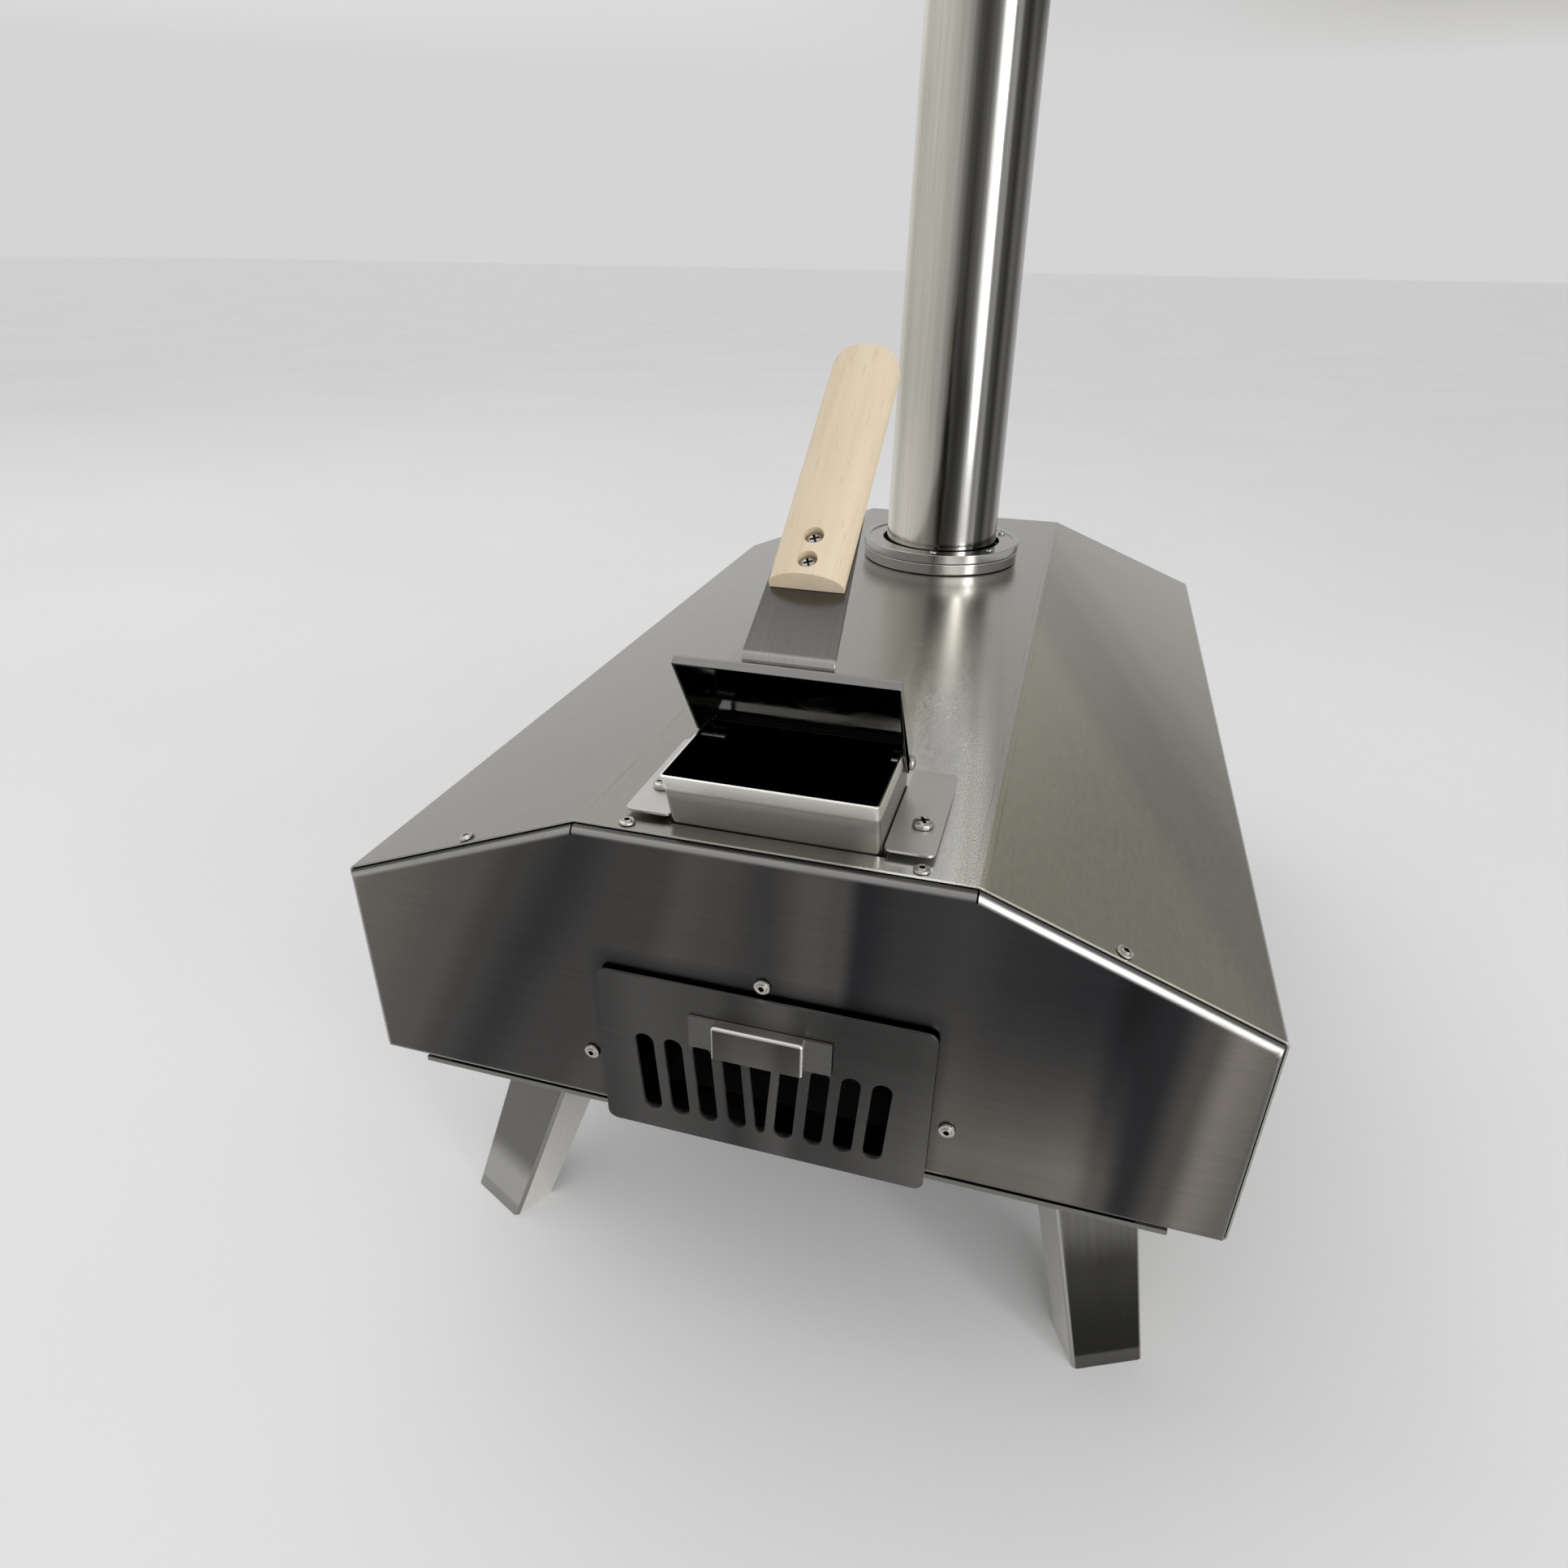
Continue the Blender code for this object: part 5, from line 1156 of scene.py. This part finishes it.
def grip_turn(along, outward):
    """Matrix whose Y runs along a grip and whose Z points out of its arched side."""
    return Matrix((along.cross(outward), along, outward)).transposed().to_4x4()


def grip_section(bm, width, thickness, length, start):
    """D-shaped bar along Y with its flat back on Z = 0."""
    flank = thickness * 0.18
    place = Matrix.Translation((0, (length + start) / 2, 0)) @ Matrix.Rotation(math.pi / 2, 4, "X")
    bmesh.ops.create_cone(bm, cap_ends=True, segments=96, radius1=width / 2, radius2=width / 2,
                          depth=length - start, matrix=place)
    bmesh.ops.scale(bm, vec=(1, 1, (thickness - flank) / (width / 2)), verts=bm.verts)
    kept = bmesh.ops.bisect_plane(bm, geom=bm.verts[:] + bm.edges[:] + bm.faces[:], dist=MERGE,
                                  plane_co=(0, 0, 0), plane_no=(0, 0, -1), clear_outer=True)
    rim = moved(kept["geom_cut"], bmesh.types.BMEdge)
    step = bmesh.ops.extrude_edge_only(bm, edges=rim)
    bmesh.ops.translate(bm, vec=(0, 0, -flank), verts=moved(step["geom"]))
    low = [edge for edge in moved(step["geom"], bmesh.types.BMEdge) if len(edge.link_faces) == 1]
    bmesh.ops.contextual_create(bm, geom=low)
    bmesh.ops.translate(bm, vec=(0, 0, flank), verts=bm.verts)
    bmesh.ops.dissolve_limit(bm, angle_limit=FLAT / 10, verts=bm.verts, edges=bm.edges)


def wooden_grip(name, sizes, length, both_ends, screw_runs, place):
    """Wooden bar with round ends and counterbored holes, set in place by a matrix."""
    top, end_radius = sizes.thickness, 0.0085
    bore, counterbore, sink = 0.0019, 0.0039, 0.0042
    side = sizes.width / 2 - 0.00015
    start, low, foot_radius = (-OVERRUN, 0.0, end_radius) if both_ends else (0.0, -OVERRUN, 0.0)
    bm = bmesh.new()
    grip_section(bm, sizes.width, top, length + OVERRUN, start)
    grip = solid(bm, name, place)
    cut(grip, slab("plan", box_outline((-side, low), (side, length)), "Z", -OVERRUN, top + OVERRUN,
                   [foot_radius, foot_radius, end_radius, end_radius], 12, place), "INTERSECT")
    for run in screw_runs:
        cut(grip, bar("bore", bore, (0, run, -OVERRUN), (0, run, top), 24, place))
        cut(grip, bar("counterbore", counterbore, (0, run, top - sink), (0, run, top + OVERRUN), 48, place))
    return soften(grip, sizes.edge_radius, 4, 40)


def strap_frame():
    """The foot of the lid's grip, its direction, the way out of its arched side, and its turn."""
    along = Vector((0, math.cos(STRAP_RISE), math.sin(STRAP_RISE)))
    outward = Vector((0, -math.sin(STRAP_RISE), math.cos(STRAP_RISE)))
    bend = Vector((0, STRAP_CORNER[0], STRAP_CORNER[1] + STRAP_RADIUS))
    neck = bend + outward * STRAP_RADIUS + along * STRAP_NECK
    return neck, along, outward, grip_turn(along, outward)


class OVEN_OT_grips(bpy.types.Operator):
    """Build the lid's strap and its wooden grip"""
    bl_idname = "oven.build_grips"
    bl_label = "Build lid handle"

    def execute(self, context):
        sizes, colours = context.scene.oven_grips, context.scene.oven_finish
        neck, along, outward, turn = strap_frame()
        self.build_strap(colours, neck, along)
        place = LID_HOME @ Matrix.Translation(neck + outward * FIT) @ turn
        upright = place.to_3x3() @ Matrix.Rotation(math.pi / 2, 3, "Z")
        wood = pale_wood("pale_wood_upright", colours.wood, upright.to_euler())
        grip = wooden_grip("lid_grip", sizes, 0.122, False, GRIP_SCREWS.values(), place)
        finish(grip, "lid_handle", "hopper_lid_assembly", wood)
        return {"FINISHED"}

    def build_strap(self, colours, neck, along):
        """Strap bent up from the lid, narrowed where it enters the grip."""
        sheet, half, narrow_half = 0.0012, 0.0362 / 2, 0.0294 / 2
        foot_run, tip_run, shoulder_run = 0.026, 0.040, 0.0148
        corner = Vector((0, *STRAP_CORNER))
        corner_run = STRAP_RADIUS * math.tan((math.pi - STRAP_RISE) / 2)
        # The strap's steel is a darker copy of the hopper's, as painted shade
        steel = brushed_metal("strap_steel", deeper(colours.hopper, 0.36), 0.24,
                              turn=(0, LID_OPEN - STRAP_RISE, math.pi / 2), move=LID_HOME @ corner,
                              anisotropy=0.3, smudges=0.3, painted_light=strap_painted_light)
        end = neck + along * tip_run
        path = [(corner.y + foot_run, corner.z), (corner.y - corner_run, corner.z), (end.y, end.z)]
        strap = folded("lid_strap_plate", path, "X", -half, half, STRAP_RADIUS, sheet, 10, LID_HOME)
        back = LID_HOME.inverted()
        shoulder = (neck - along * shoulder_run).dot(along)
        for vert in strap.data.vertices:
            local = back @ vert.co
            if local.z > corner.z + STRAP_RADIUS * 2 and local.dot(along) > shoulder:
                vert.co.x = math.copysign(narrow_half, vert.co.x)
        finish(soften(strap), "lid_strap", "hopper_lid_assembly", steel)


# Chimney

class OVEN_OT_chimney(bpy.types.Operator):
    """Turn the collars, the polished flue, its cap and its knob"""
    bl_idname = "oven.build_chimney"
    bl_label = "Build chimney"

    def execute(self, context):
        sizes, colours = context.scene.oven_chimney, context.scene.oven_finish
        place, foot, top = (0, CHIMNEY_RUN, 0), 0.1375, 0.5704
        collar = brushed_metal("collar_steel", colours.collar, 0.20, grain=0.3, smudges=0.2)
        tube = brushed_metal("polished_tube", colours.tube, 0.14, turn=(0, math.pi / 2, 0), anisotropy=0.3,
                             grain=1.5, smudges=0.15, length=14.0, fineness=1300.0,
                             painted_light=flue_painted_reflections(HOME @ Vector(place)))
        self.build_collars(sizes, place, collar)
        wide, narrow, sheet = 0.0409, 0.0366, 0.001
        outline = [(wide - sheet, foot), (wide, foot), (narrow, top), (narrow - sheet, top)]
        flue = turned("flue", outline, place, sizes.steps)
        finish(soften(flue, 0.0003), "chimney_tube", "chimney", tube)
        self.build_cap(sizes, place, top, collar)
        self.build_knob(place, top + FIT + 0.001 + FIT, colours)
        return {"FINISHED"}

    def build_collars(self, sizes, place, collar):
        """Two rings, the upper one with a step that lets its screws sink in."""
        lower = box_outline((0.0440, 0.1487), (0.0568, 0.1567))
        bore, step, rim = 0.0432, 0.0532, 0.0574
        foot, seat, top = 0.1570, 0.1623, 0.1632
        upper = [(bore, foot), (rim, foot), (rim, top), (step, top), (step, seat), (bore, seat)]
        for name, node, profile in (("collar_ring_low", "lower_collar", lower),
                                    ("collar_ring_high", "upper_collar", upper)):
            ring = turned(name, profile, place, sizes.steps)
            finish(soften(ring, sizes.rim_radius, 4), node, "oven_body", collar)

    def build_cap(self, sizes, place, top, collar):
        """Cap with a skirt over the tube and a stud for its knob."""
        sheet, skirt, stud, stud_high = 0.001, 0.018, 0.002, 0.009
        low, high = top + FIT, top + FIT + sheet
        first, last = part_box("chimney_cap")
        reach = (last.x - first.x) / 2
        profile = [(0, low), (reach - sheet, low), (reach - sheet, top - skirt), (reach, top - skirt),
                   (reach, high), (stud, high), (stud, high + stud_high), (0, high + stud_high)]
        cap = turned("flue_cap", profile, place, sizes.steps)
        finish(soften(cap, 0.0006, 3), "chimney_cap", "chimney_lid", collar)

    def build_knob(self, place, foot, colours):
        """Wooden knob with a bore for the cap's stud."""
        bore, neck, brim, shoulder, crown = 0.0023, 0.0060, 0.0125, 0.0095, 0.004
        bore_top, neck_top, brim_low, brim_top, shoulder_high, top = (
            foot + height for height in (0.009, 0.005, 0.0085, 0.0115, 0.0182, 0.0200))
        profile = [(0, bore_top), (bore, bore_top), (bore, foot), (neck, foot), (neck, neck_top),
                   (brim, brim_low), (brim, brim_top), (shoulder, shoulder_high), (crown, top), (0, top)]
        wood = pale_wood("pale_wood_knob", colours.wood, (0, math.pi / 2, 0))
        knob = turned("cap_grip", profile, place, 64)
        finish(soften(knob, 0.0016, 5, 20), "cap_knob", "chimney_lid", wood)


# Door

class OVEN_OT_door(bpy.types.Operator):
    """Build the front door with its bracket and wooden bar"""
    bl_idname = "oven.build_door"
    bl_label = "Build door"

    def execute(self, context):
        sizes, colours = context.scene.oven_grips, context.scene.oven_finish
        steel = brushed_metal("door_steel", deeper(colours.panel, 1.9), 0.27, anisotropy=0.5)
        bracket_steel = brushed_metal("door_bracket_steel", colours.hopper, 0.28, anisotropy=0.35)
        wood = pale_wood("pale_wood_bar", colours.wood, (0, 0, 0))
        door = copy_of("front_door", "door_plate")
        finish(soften(door, 0.0003, 3), "front_door", "door", steel)

        fold, fold_low, fold_high, long_run = 0.0009, 0.0650, 0.0661, 0.05

        def bends(middle, run):
            """The bracket's two long folds, inside and outside."""
            return fold if abs(run.x) > long_run and fold_low < middle.z < fold_high else 0.0
        bracket = copy_of("door_bracket", "door_bracket_strap", bends)
        finish(soften(bracket), "door_bracket", "door", bracket_steel)
        low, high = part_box("door_handle")
        length, screw_reach = high.x - low.x, 0.028
        place = Matrix.Translation((low.x, low.y, (low.z + high.z) / 2)) @ grip_turn(Vector((1, 0, 0)),
                                                                                  Vector((0, 1, 0)))
        screw_runs = (length / 2 - screw_reach, length / 2 + screw_reach)
        grip = wooden_grip("door_grip", sizes, length, True, screw_runs, place)
        finish(grip, "door_handle", "door", wood)
        return {"FINISHED"}


# Legs

# Each leg's turn about the upright axis in degrees; it leans out by the same amount
LEG_TURNS = {"rear_left": -25.0, "rear_right": 25.0, "front_left": 205.0, "front_right": 155.0}
LEG_LEAN = math.radians(28.2)
LEG_WEB = 0.0165
LEG_LENGTH = 0.1433

# Painted light, shade and reflection on each leg, from its pivot to its foot: the steel's depth on its web,
# on its sides, at its folds and by its foot
LEG_SHADES = {
    "rear_left": ([(0.0, 0.37), (0.76, 0.37), (0.87, 0.90), (1.0, 0.94)],
                  [(0.0, 1.30), (1.0, 2.00)], 0.60, 0.72),
    "rear_right": ([(0.0, 0.21), (0.50, 0.20), (0.66, 0.085), (0.88, 0.05), (1.0, 0.05)],
                   [(0.0, 1.45), (1.0, 1.65)], 0.95, 0.20),
    "front_left": ([(0.0, 0.45), (0.70, 0.45), (0.85, 0.75), (1.0, 0.75)],
                   [(0.0, 1.00), (1.0, 1.25)], 0.85, 0.70),
    "front_right": ([(0.0, 0.40), (0.70, 0.40), (0.85, 0.70), (1.0, 0.70)],
                    [(0.0, 1.00), (1.0, 1.25)], 0.85, 0.65)}


def leg_home(corner, body_length):
    """A leg's own frame: origin on its pivot, leaning out along -Y, as it stands."""
    across, run, height = 0.1359, 0.1078, -0.0190
    side = across if corner.endswith("right") else -across
    station_run = run if corner.startswith("rear") else body_length - run
    turn = Matrix.Rotation(math.radians(LEG_TURNS[corner]), 4, "Z")
    return HOME @ Matrix.Translation((side, station_run, height)) @ turn


class OVEN_OT_legs(bpy.types.Operator):
    """Fold the four legs and their brackets, and set their pins"""
    bl_idname = "oven.build_legs"
    bl_label = "Build legs"

    def execute(self, context):
        sizes, colours = context.scene.oven_legs, context.scene.oven_finish
        plate = bright_plate("pin_plate", deeper(colours.fastener, 0.8))
        bracket_steel = brushed_metal("bracket_steel", colours.chamber, 0.36)
        for corner in LEG_TURNS:
            home = leg_home(corner, context.scene.oven_casing.body_length)
            self.build_leg(corner, home, sizes.fold_radius, colours.leg)
            finish_copy("leg_bracket_" + corner, "leg_hanger_" + corner, "oven_body",
                        bracket_steel, 0.0003)
            finish_copy("leg_pin_" + corner, "leg_axle_" + corner, "oven_body", plate)
        return {"FINISHED"}

    def build_leg(self, corner, home, fold_radius, colour):
        """One folded leg; the two long corners of its web are rounded outside and inside."""
        sheet, reach, long_run = 0.0012, 0.0002, 0.04

        def folds(middle, run):
            across = middle.z * math.sin(LEG_LEAN) - middle.y * math.cos(LEG_LEAN)
            if run.length > long_run and near(across, LEG_WEB, reach):
                return fold_radius
            if run.length > long_run and near(across, LEG_WEB - sheet, reach):
                return max(fold_radius - sheet, FIT)
            return 0.0
        lean = home.to_3x3() @ Matrix.Rotation(-LEG_LEAN, 3, "X")
        steel = brushed_metal("leg_steel_" + corner, colour, 0.20, move=home.translation,
                              turn=(lean @ Matrix.Rotation(math.pi / 2, 3, "Y")).to_euler(),
                              anisotropy=0.5, grain=0.6, smudges=0.3,
                              painted_light=leg_painted_light(*LEG_SHADES[corner], lean @ Vector((0, -1, 0))))
        leg = copy_of("leg_" + corner, "folding_leg_" + corner, folds, home)
        finish(soften(leg), "leg_" + corner, corner + "_leg", steel)


# Fasteners

# Widths as shares of the head's radius and heights as shares of its height
HEADS = {
    "core": ((1.0, 0.0), (1.0, 0.28), (0.93, 0.55), (0.74, 0.72), (0.60, 0.62), (0.56, 0.95), (0.46, 1.0),
             (0.34, 0.92), (0.30, 0.20), (0.0, 0.20)),
    "cross": ((1.0, 0.0), (1.0, 0.42), (0.95, 0.66), (0.84, 0.84), (0.62, 0.96), (0.34, 1.0), (0.0, 1.0))}

# Radius and height of the head, radius and length of the shank, and an open core or a cross recess
RIVET = (0.0033, 0.0016, 0.0016, 0.0026, "core")
PANEL_SCREW = (0.0036, 0.0022, 0.0019, 0.003, "core")
PLATE_SCREW = (0.0042, 0.0024, 0.0019, 0.0033, "cross")
HINGE_PIN = (0.0032, 0.0020, 0.0015, 0.0079, "cross")
RING_SCREW = (0.0026, 0.0016, 0.0013, 0.0045, "cross")
GRIP_SCREW = (0.0032, 0.0020, 0.0016, 0.0076, "cross")

# Places of the rear panel's screws, and angles of the screws round the collar in degrees
PANEL_SCREWS = {"left": (-0.080, 0.0305), "right": (0.080, 0.0305), "top": (0.0, 0.0862)}
RING_SCREW_ANGLES = (-88.0, -38.0, 30.0, 147.0)


def stand(base, direction):
    """A place on the body that points out along a direction."""
    return HOME @ Matrix.Translation(base) @ turn_to(direction)


def make_fastener(name, node, material, sizes, place, body="oven_body"):
    """A ringed head with an open core, or a pan head with a cross recess, on its shank."""
    radius, height, shank_radius, shank, drive = sizes
    profile = [(0, -shank), (shank_radius, -shank), (shank_radius, 0)]
    profile += [(width * radius, lift * height) for width, lift in HEADS[drive]]
    item = turned(name, profile, (0, 0, 0), 40, place)
    if drive == "cross":
        arm, thick, depth = radius * 0.62, radius * 0.15, height * 0.30
        for turn in (0.4, 0.4 + math.pi / 2):
            cut(item, slab("cross", box_outline((-arm, -thick), (arm, thick)), "Z", depth, height * 2,
                           thick * 0.6, 4, place @ Matrix.Rotation(turn, 4, "Z")))
    finish(soften(item, 0.00010), node, body, material)
    back = place.inverted()

    def is_sunk(polygon):
        centre = back @ polygon.center
        reach = math.hypot(centre.x, centre.y)
        if drive == "core":
            return reach < radius * 0.32 and centre.z > 0
        return reach < radius * 0.72 and height * 0.15 < centre.z < height * 0.80
    # Painted shade in the open core or the cross recess
    inlay(item, bpy.data.materials["painted_recess_shade"], is_sunk)


class OVEN_OT_fasteners(bpy.types.Operator):
    """Set the rivets, the socket screws, the cross-head screws and the lid's pins"""
    bl_idname = "oven.build_fasteners"
    bl_label = "Build fasteners"

    def execute(self, context):
        plate = bright_plate("bright_fasteners", context.scene.oven_finish.fastener)
        # Near-black steel for the painted shade in the fasteners' cores and recesses
        brushed_metal("painted_recess_shade", (0.04, 0.038, 0.035), 0.4)
        for name, side in (("left", -1), ("right", 1)):
            self.roof_fasteners(context.scene.oven_casing, name, side, plate)
        for name, (across, height) in PANEL_SCREWS.items():
            make_fastener("end_panel_screw_" + name, "panel_screw_" + name, plate, PANEL_SCREW,
                          stand((across, -FIT, height), (0, -1, 0)))
        ring, ring_top = 0.0494, 0.1626
        for number, angle in enumerate(RING_SCREW_ANGLES, 1):
            turn = math.radians(angle)
            base = (ring * math.cos(turn), CHIMNEY_RUN + ring * math.sin(turn), ring_top)
            make_fastener(f"ring_screw_{number}", f"collar_screw_{number}", plate, RING_SCREW,
                          stand(base, (0, 0, 1)))
        self.grip_screws(plate)
        return {"FINISHED"}

    def roof_fasteners(self, sizes, name, side, plate):
        """One side's two rivets along the rear edge, and its screw and pin at the hopper."""
        edge_run, rivet_across, pin_across, down_slope = 0.0078, 0.0591, 0.0443, 0.47
        ridge, drop = sizes.roof_flat / 2, sizes.roof_height - sizes.side_height
        outward = Vector((drop, 0, BODY_HALF - ridge)).normalized()
        outward.x *= side
        on_slope = Vector((side * (ridge + (BODY_HALF - ridge) * down_slope), edge_run,
                           sizes.roof_height - drop * down_slope)) + outward * FIT
        on_top = (side * rivet_across, edge_run, sizes.roof_height + FIT)
        on_plate = (side * 0.0548, 0.0352, 0.1520)
        hinge = LID_PIVOT + Vector((side * pin_across, 0, 0))
        for head, node, kind, base, direction in (
                ("roof_rivet_{}_head", "roof_rivet_{}", RIVET, on_slope, outward),
                ("top_rivet_{}_head", "top_rivet_{}", RIVET, on_top, (0, 0, 1)),
                ("plate_screw_{}", "flange_screw_{}", PLATE_SCREW, on_plate, (0, 0, 1)),
                ("lid_pivot_{}", "hinge_pin_{}", HINGE_PIN, hinge, (side, 0, 0))):
            make_fastener(head.format(name), node.format(name), plate, kind, stand(base, direction))

    def grip_screws(self, plate):
        """Screws sunk in the lid's grip and in the door's."""
        neck, along, outward, turn = strap_frame()
        seat, sunk = 0.0061 + FIT, 0.0020
        for name, run in GRIP_SCREWS.items():
            place = LID_HOME @ Matrix.Translation(neck + along * run + outward * seat) @ turn
            make_fastener("grip_screw_" + name, "lid_handle_screw_" + name, plate, GRIP_SCREW, place,
                          "hopper_lid_assembly")
        for name in ("left", "right"):
            low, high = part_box("door_handle_screw_" + name)
            base = ((low.x + high.x) / 2, high.y - sunk, (low.z + high.z) / 2)
            make_fastener("bar_screw_" + name, "door_handle_screw_" + name, plate, GRIP_SCREW,
                          Matrix.Translation(base) @ turn_to((0, 1, 0)), "door")


# Stage

# The backdrop's light from below to overhead, and as shares of a full turn from the rear by the left
SKY_HEIGHTS = [(0.0, 0.76), (0.2, 0.8), (0.5, 0.8), (1.0, 1.0)]
SKY_SIDES = [(0.0, 0.72), (0.25, 0.95), (0.36, 1.0), (0.44, 0.92), (0.50, 0.78),
             (0.535, (0.58, 0.565, 0.50)), (0.565, (0.38, 0.37, 0.325)), (0.61, (0.38, 0.37, 0.33)),
             (0.68, 0.6), (0.80, 0.80), (1.0, 0.72)]
HORIZON_LIGHT = (0.84, 0.84, 0.84, 1)

# Place, width, height, power in watts and fan in degrees of each lamp
LAMPS = {"strip_softbox": ((1.75, -1.15, 0.62), 0.42, 1.1, 2.5, 85.0),
         "front_softbox": ((1.45, -2.32, 1.25), 1.6, 2.2, 5.6, 115.0),
         "top_softbox": ((-1.9, 0.3, 2.4), 2.0, 2.0, 10.0, 180.0)}
LAMP_TARGET = Vector((0, 0, 0.25))

CAMERA_PLACE = (0.09488, -0.62242, 0.48700)
CAMERA_TURN = Euler(math.radians(angle) for angle in (62.092815, -0.760194, 16.208811))
PICTURE_WIDTH = 1932


class OVEN_OT_stage(bpy.types.Operator):
    """Lay the pale floor and set the soft lights and the camera"""
    bl_idname = "oven.build_stage"
    bl_label = "Build stage"

    def execute(self, context):
        stage = context.scene.oven_stage
        self.lay_floor(tuple(stage.floor))
        self.set_world(stage)
        self.set_lights()
        self.set_camera(stage)
        context.scene.view_settings.view_transform = "Standard"
        return {"FINISHED"}

    def lay_floor(self, shade):
        half = 40.0
        bm = bmesh.new()
        bmesh.ops.create_grid(bm, x_segments=8, y_segments=8, size=half)
        floor = solid(bm, "pale_floor", Matrix.Identity(4))
        if floor.data.polygons[0].normal.z < 0:
            floor.data.flip_normals()
        floor.data.materials.append(mottled_paint("floor_paint", shade, deeper(shade, 0.97), 2.0, 0.7))

    def set_world(self, stage):
        """Pale backdrop, a little lighter overhead, dark to the right and even near the horizon."""
        world = bpy.data.worlds.new("soft_studio")
        bpy.context.scene.world = world
        world.use_nodes = True
        nodes = Nodes(world.node_tree)
        x, y, z = nodes.parts(nodes.add("TexCoord").outputs["Generated"])
        height = nodes.ramp(nodes.spread(z, -0.2, 1.0), SKY_HEIGHTS)
        side = nodes.ramp(nodes.heading(x, y), SKY_SIDES)
        side = nodes.mix(nodes.spread(z, 0.13, 0.19), HORIZON_LIGHT, side)
        shade = nodes.tinted(nodes.tinted(height, side), (*stage.sky, 1))
        background = world.node_tree.nodes["Background"].inputs
        nodes.feed(background["Color"], shade)
        background["Strength"].default_value = 1.15

    def set_lights(self):
        for name, (place, width, height, power, fan) in LAMPS.items():
            lamp = bpy.data.lights.new(name, "AREA")
            lamp.shape = "RECTANGLE"
            lamp.size = width
            lamp.size_y = height
            lamp.energy = power
            lamp.spread = math.radians(fan)
            item = bpy.data.objects.new(name, lamp)
            item.location = place
            item.rotation_euler = (LAMP_TARGET - Vector(place)).to_track_quat("-Z", "Y").to_euler()
            bpy.context.scene.collection.objects.link(item)

    def set_camera(self, stage):
        lens = bpy.data.cameras.new("studio_camera")
        lens.sensor_fit = "HORIZONTAL"
        lens.sensor_width = 36.0
        lens.lens = stage.lens
        lens.shift_y = 1 / PICTURE_WIDTH
        item = bpy.data.objects.new("studio_camera", lens)
        item.location = CAMERA_PLACE
        item.rotation_euler = CAMERA_TURN
        bpy.context.scene.collection.objects.link(item)
        bpy.context.scene.camera = item


# Sidebar and registration

class OVEN_PT_sidebar(bpy.types.Panel):
    bl_idname = "OVEN_PT_sidebar"
    bl_label = "Pizza oven"
    bl_space_type = "VIEW_3D"
    bl_region_type = "UI"
    bl_category = "Oven"

    def draw(self, context):
        for group, _, label in SETTINGS:
            box = self.layout.box()
            box.label(text=label)
            settings = getattr(context.scene, group)
            for key in settings.__annotations__:
                box.prop(settings, key)
        for operator in OPERATORS:
            self.layout.operator(operator.bl_idname)


SETTINGS = (("oven_casing", OvenCasingSettings, "Casing"),
            ("oven_burner", OvenBurnerSettings, "Burner drawer"),
            ("oven_hopper", OvenHopperSettings, "Hopper"),
            ("oven_chimney", OvenChimneySettings, "Chimney"),
            ("oven_grips", OvenGripSettings, "Wooden grips"),
            ("oven_legs", OvenLegSettings, "Legs"),
            ("oven_finish", OvenFinishSettings, "Finishes"),
            ("oven_stage", OvenStageSettings, "Stage"))
OPERATORS = (OVEN_OT_casing, OVEN_OT_chamber, OVEN_OT_burner, OVEN_OT_hopper, OVEN_OT_grips, OVEN_OT_chimney,
             OVEN_OT_door, OVEN_OT_legs, OVEN_OT_fasteners, OVEN_OT_stage)


def register():
    for group, kind, _ in SETTINGS:
        bpy.utils.register_class(kind)
        setattr(bpy.types.Scene, group, PointerProperty(type=kind))
    for operator in OPERATORS:
        bpy.utils.register_class(operator)
    bpy.utils.register_class(OVEN_PT_sidebar)


def unregister():
    bpy.utils.unregister_class(OVEN_PT_sidebar)
    for operator in reversed(OPERATORS):
        bpy.utils.unregister_class(operator)
    for group, kind, _ in reversed(SETTINGS):
        delattr(bpy.types.Scene, group)
        bpy.utils.unregister_class(kind)


def main():
    register()
    for build_group in (build_brush_group, build_handling_group, build_wood_group, build_soot_group):
        build_group()
    for operator in OPERATORS:
        family, _, step = operator.bl_idname.partition(".")
        getattr(getattr(bpy.ops, family), step)()


if __name__ == "__main__":
    main()
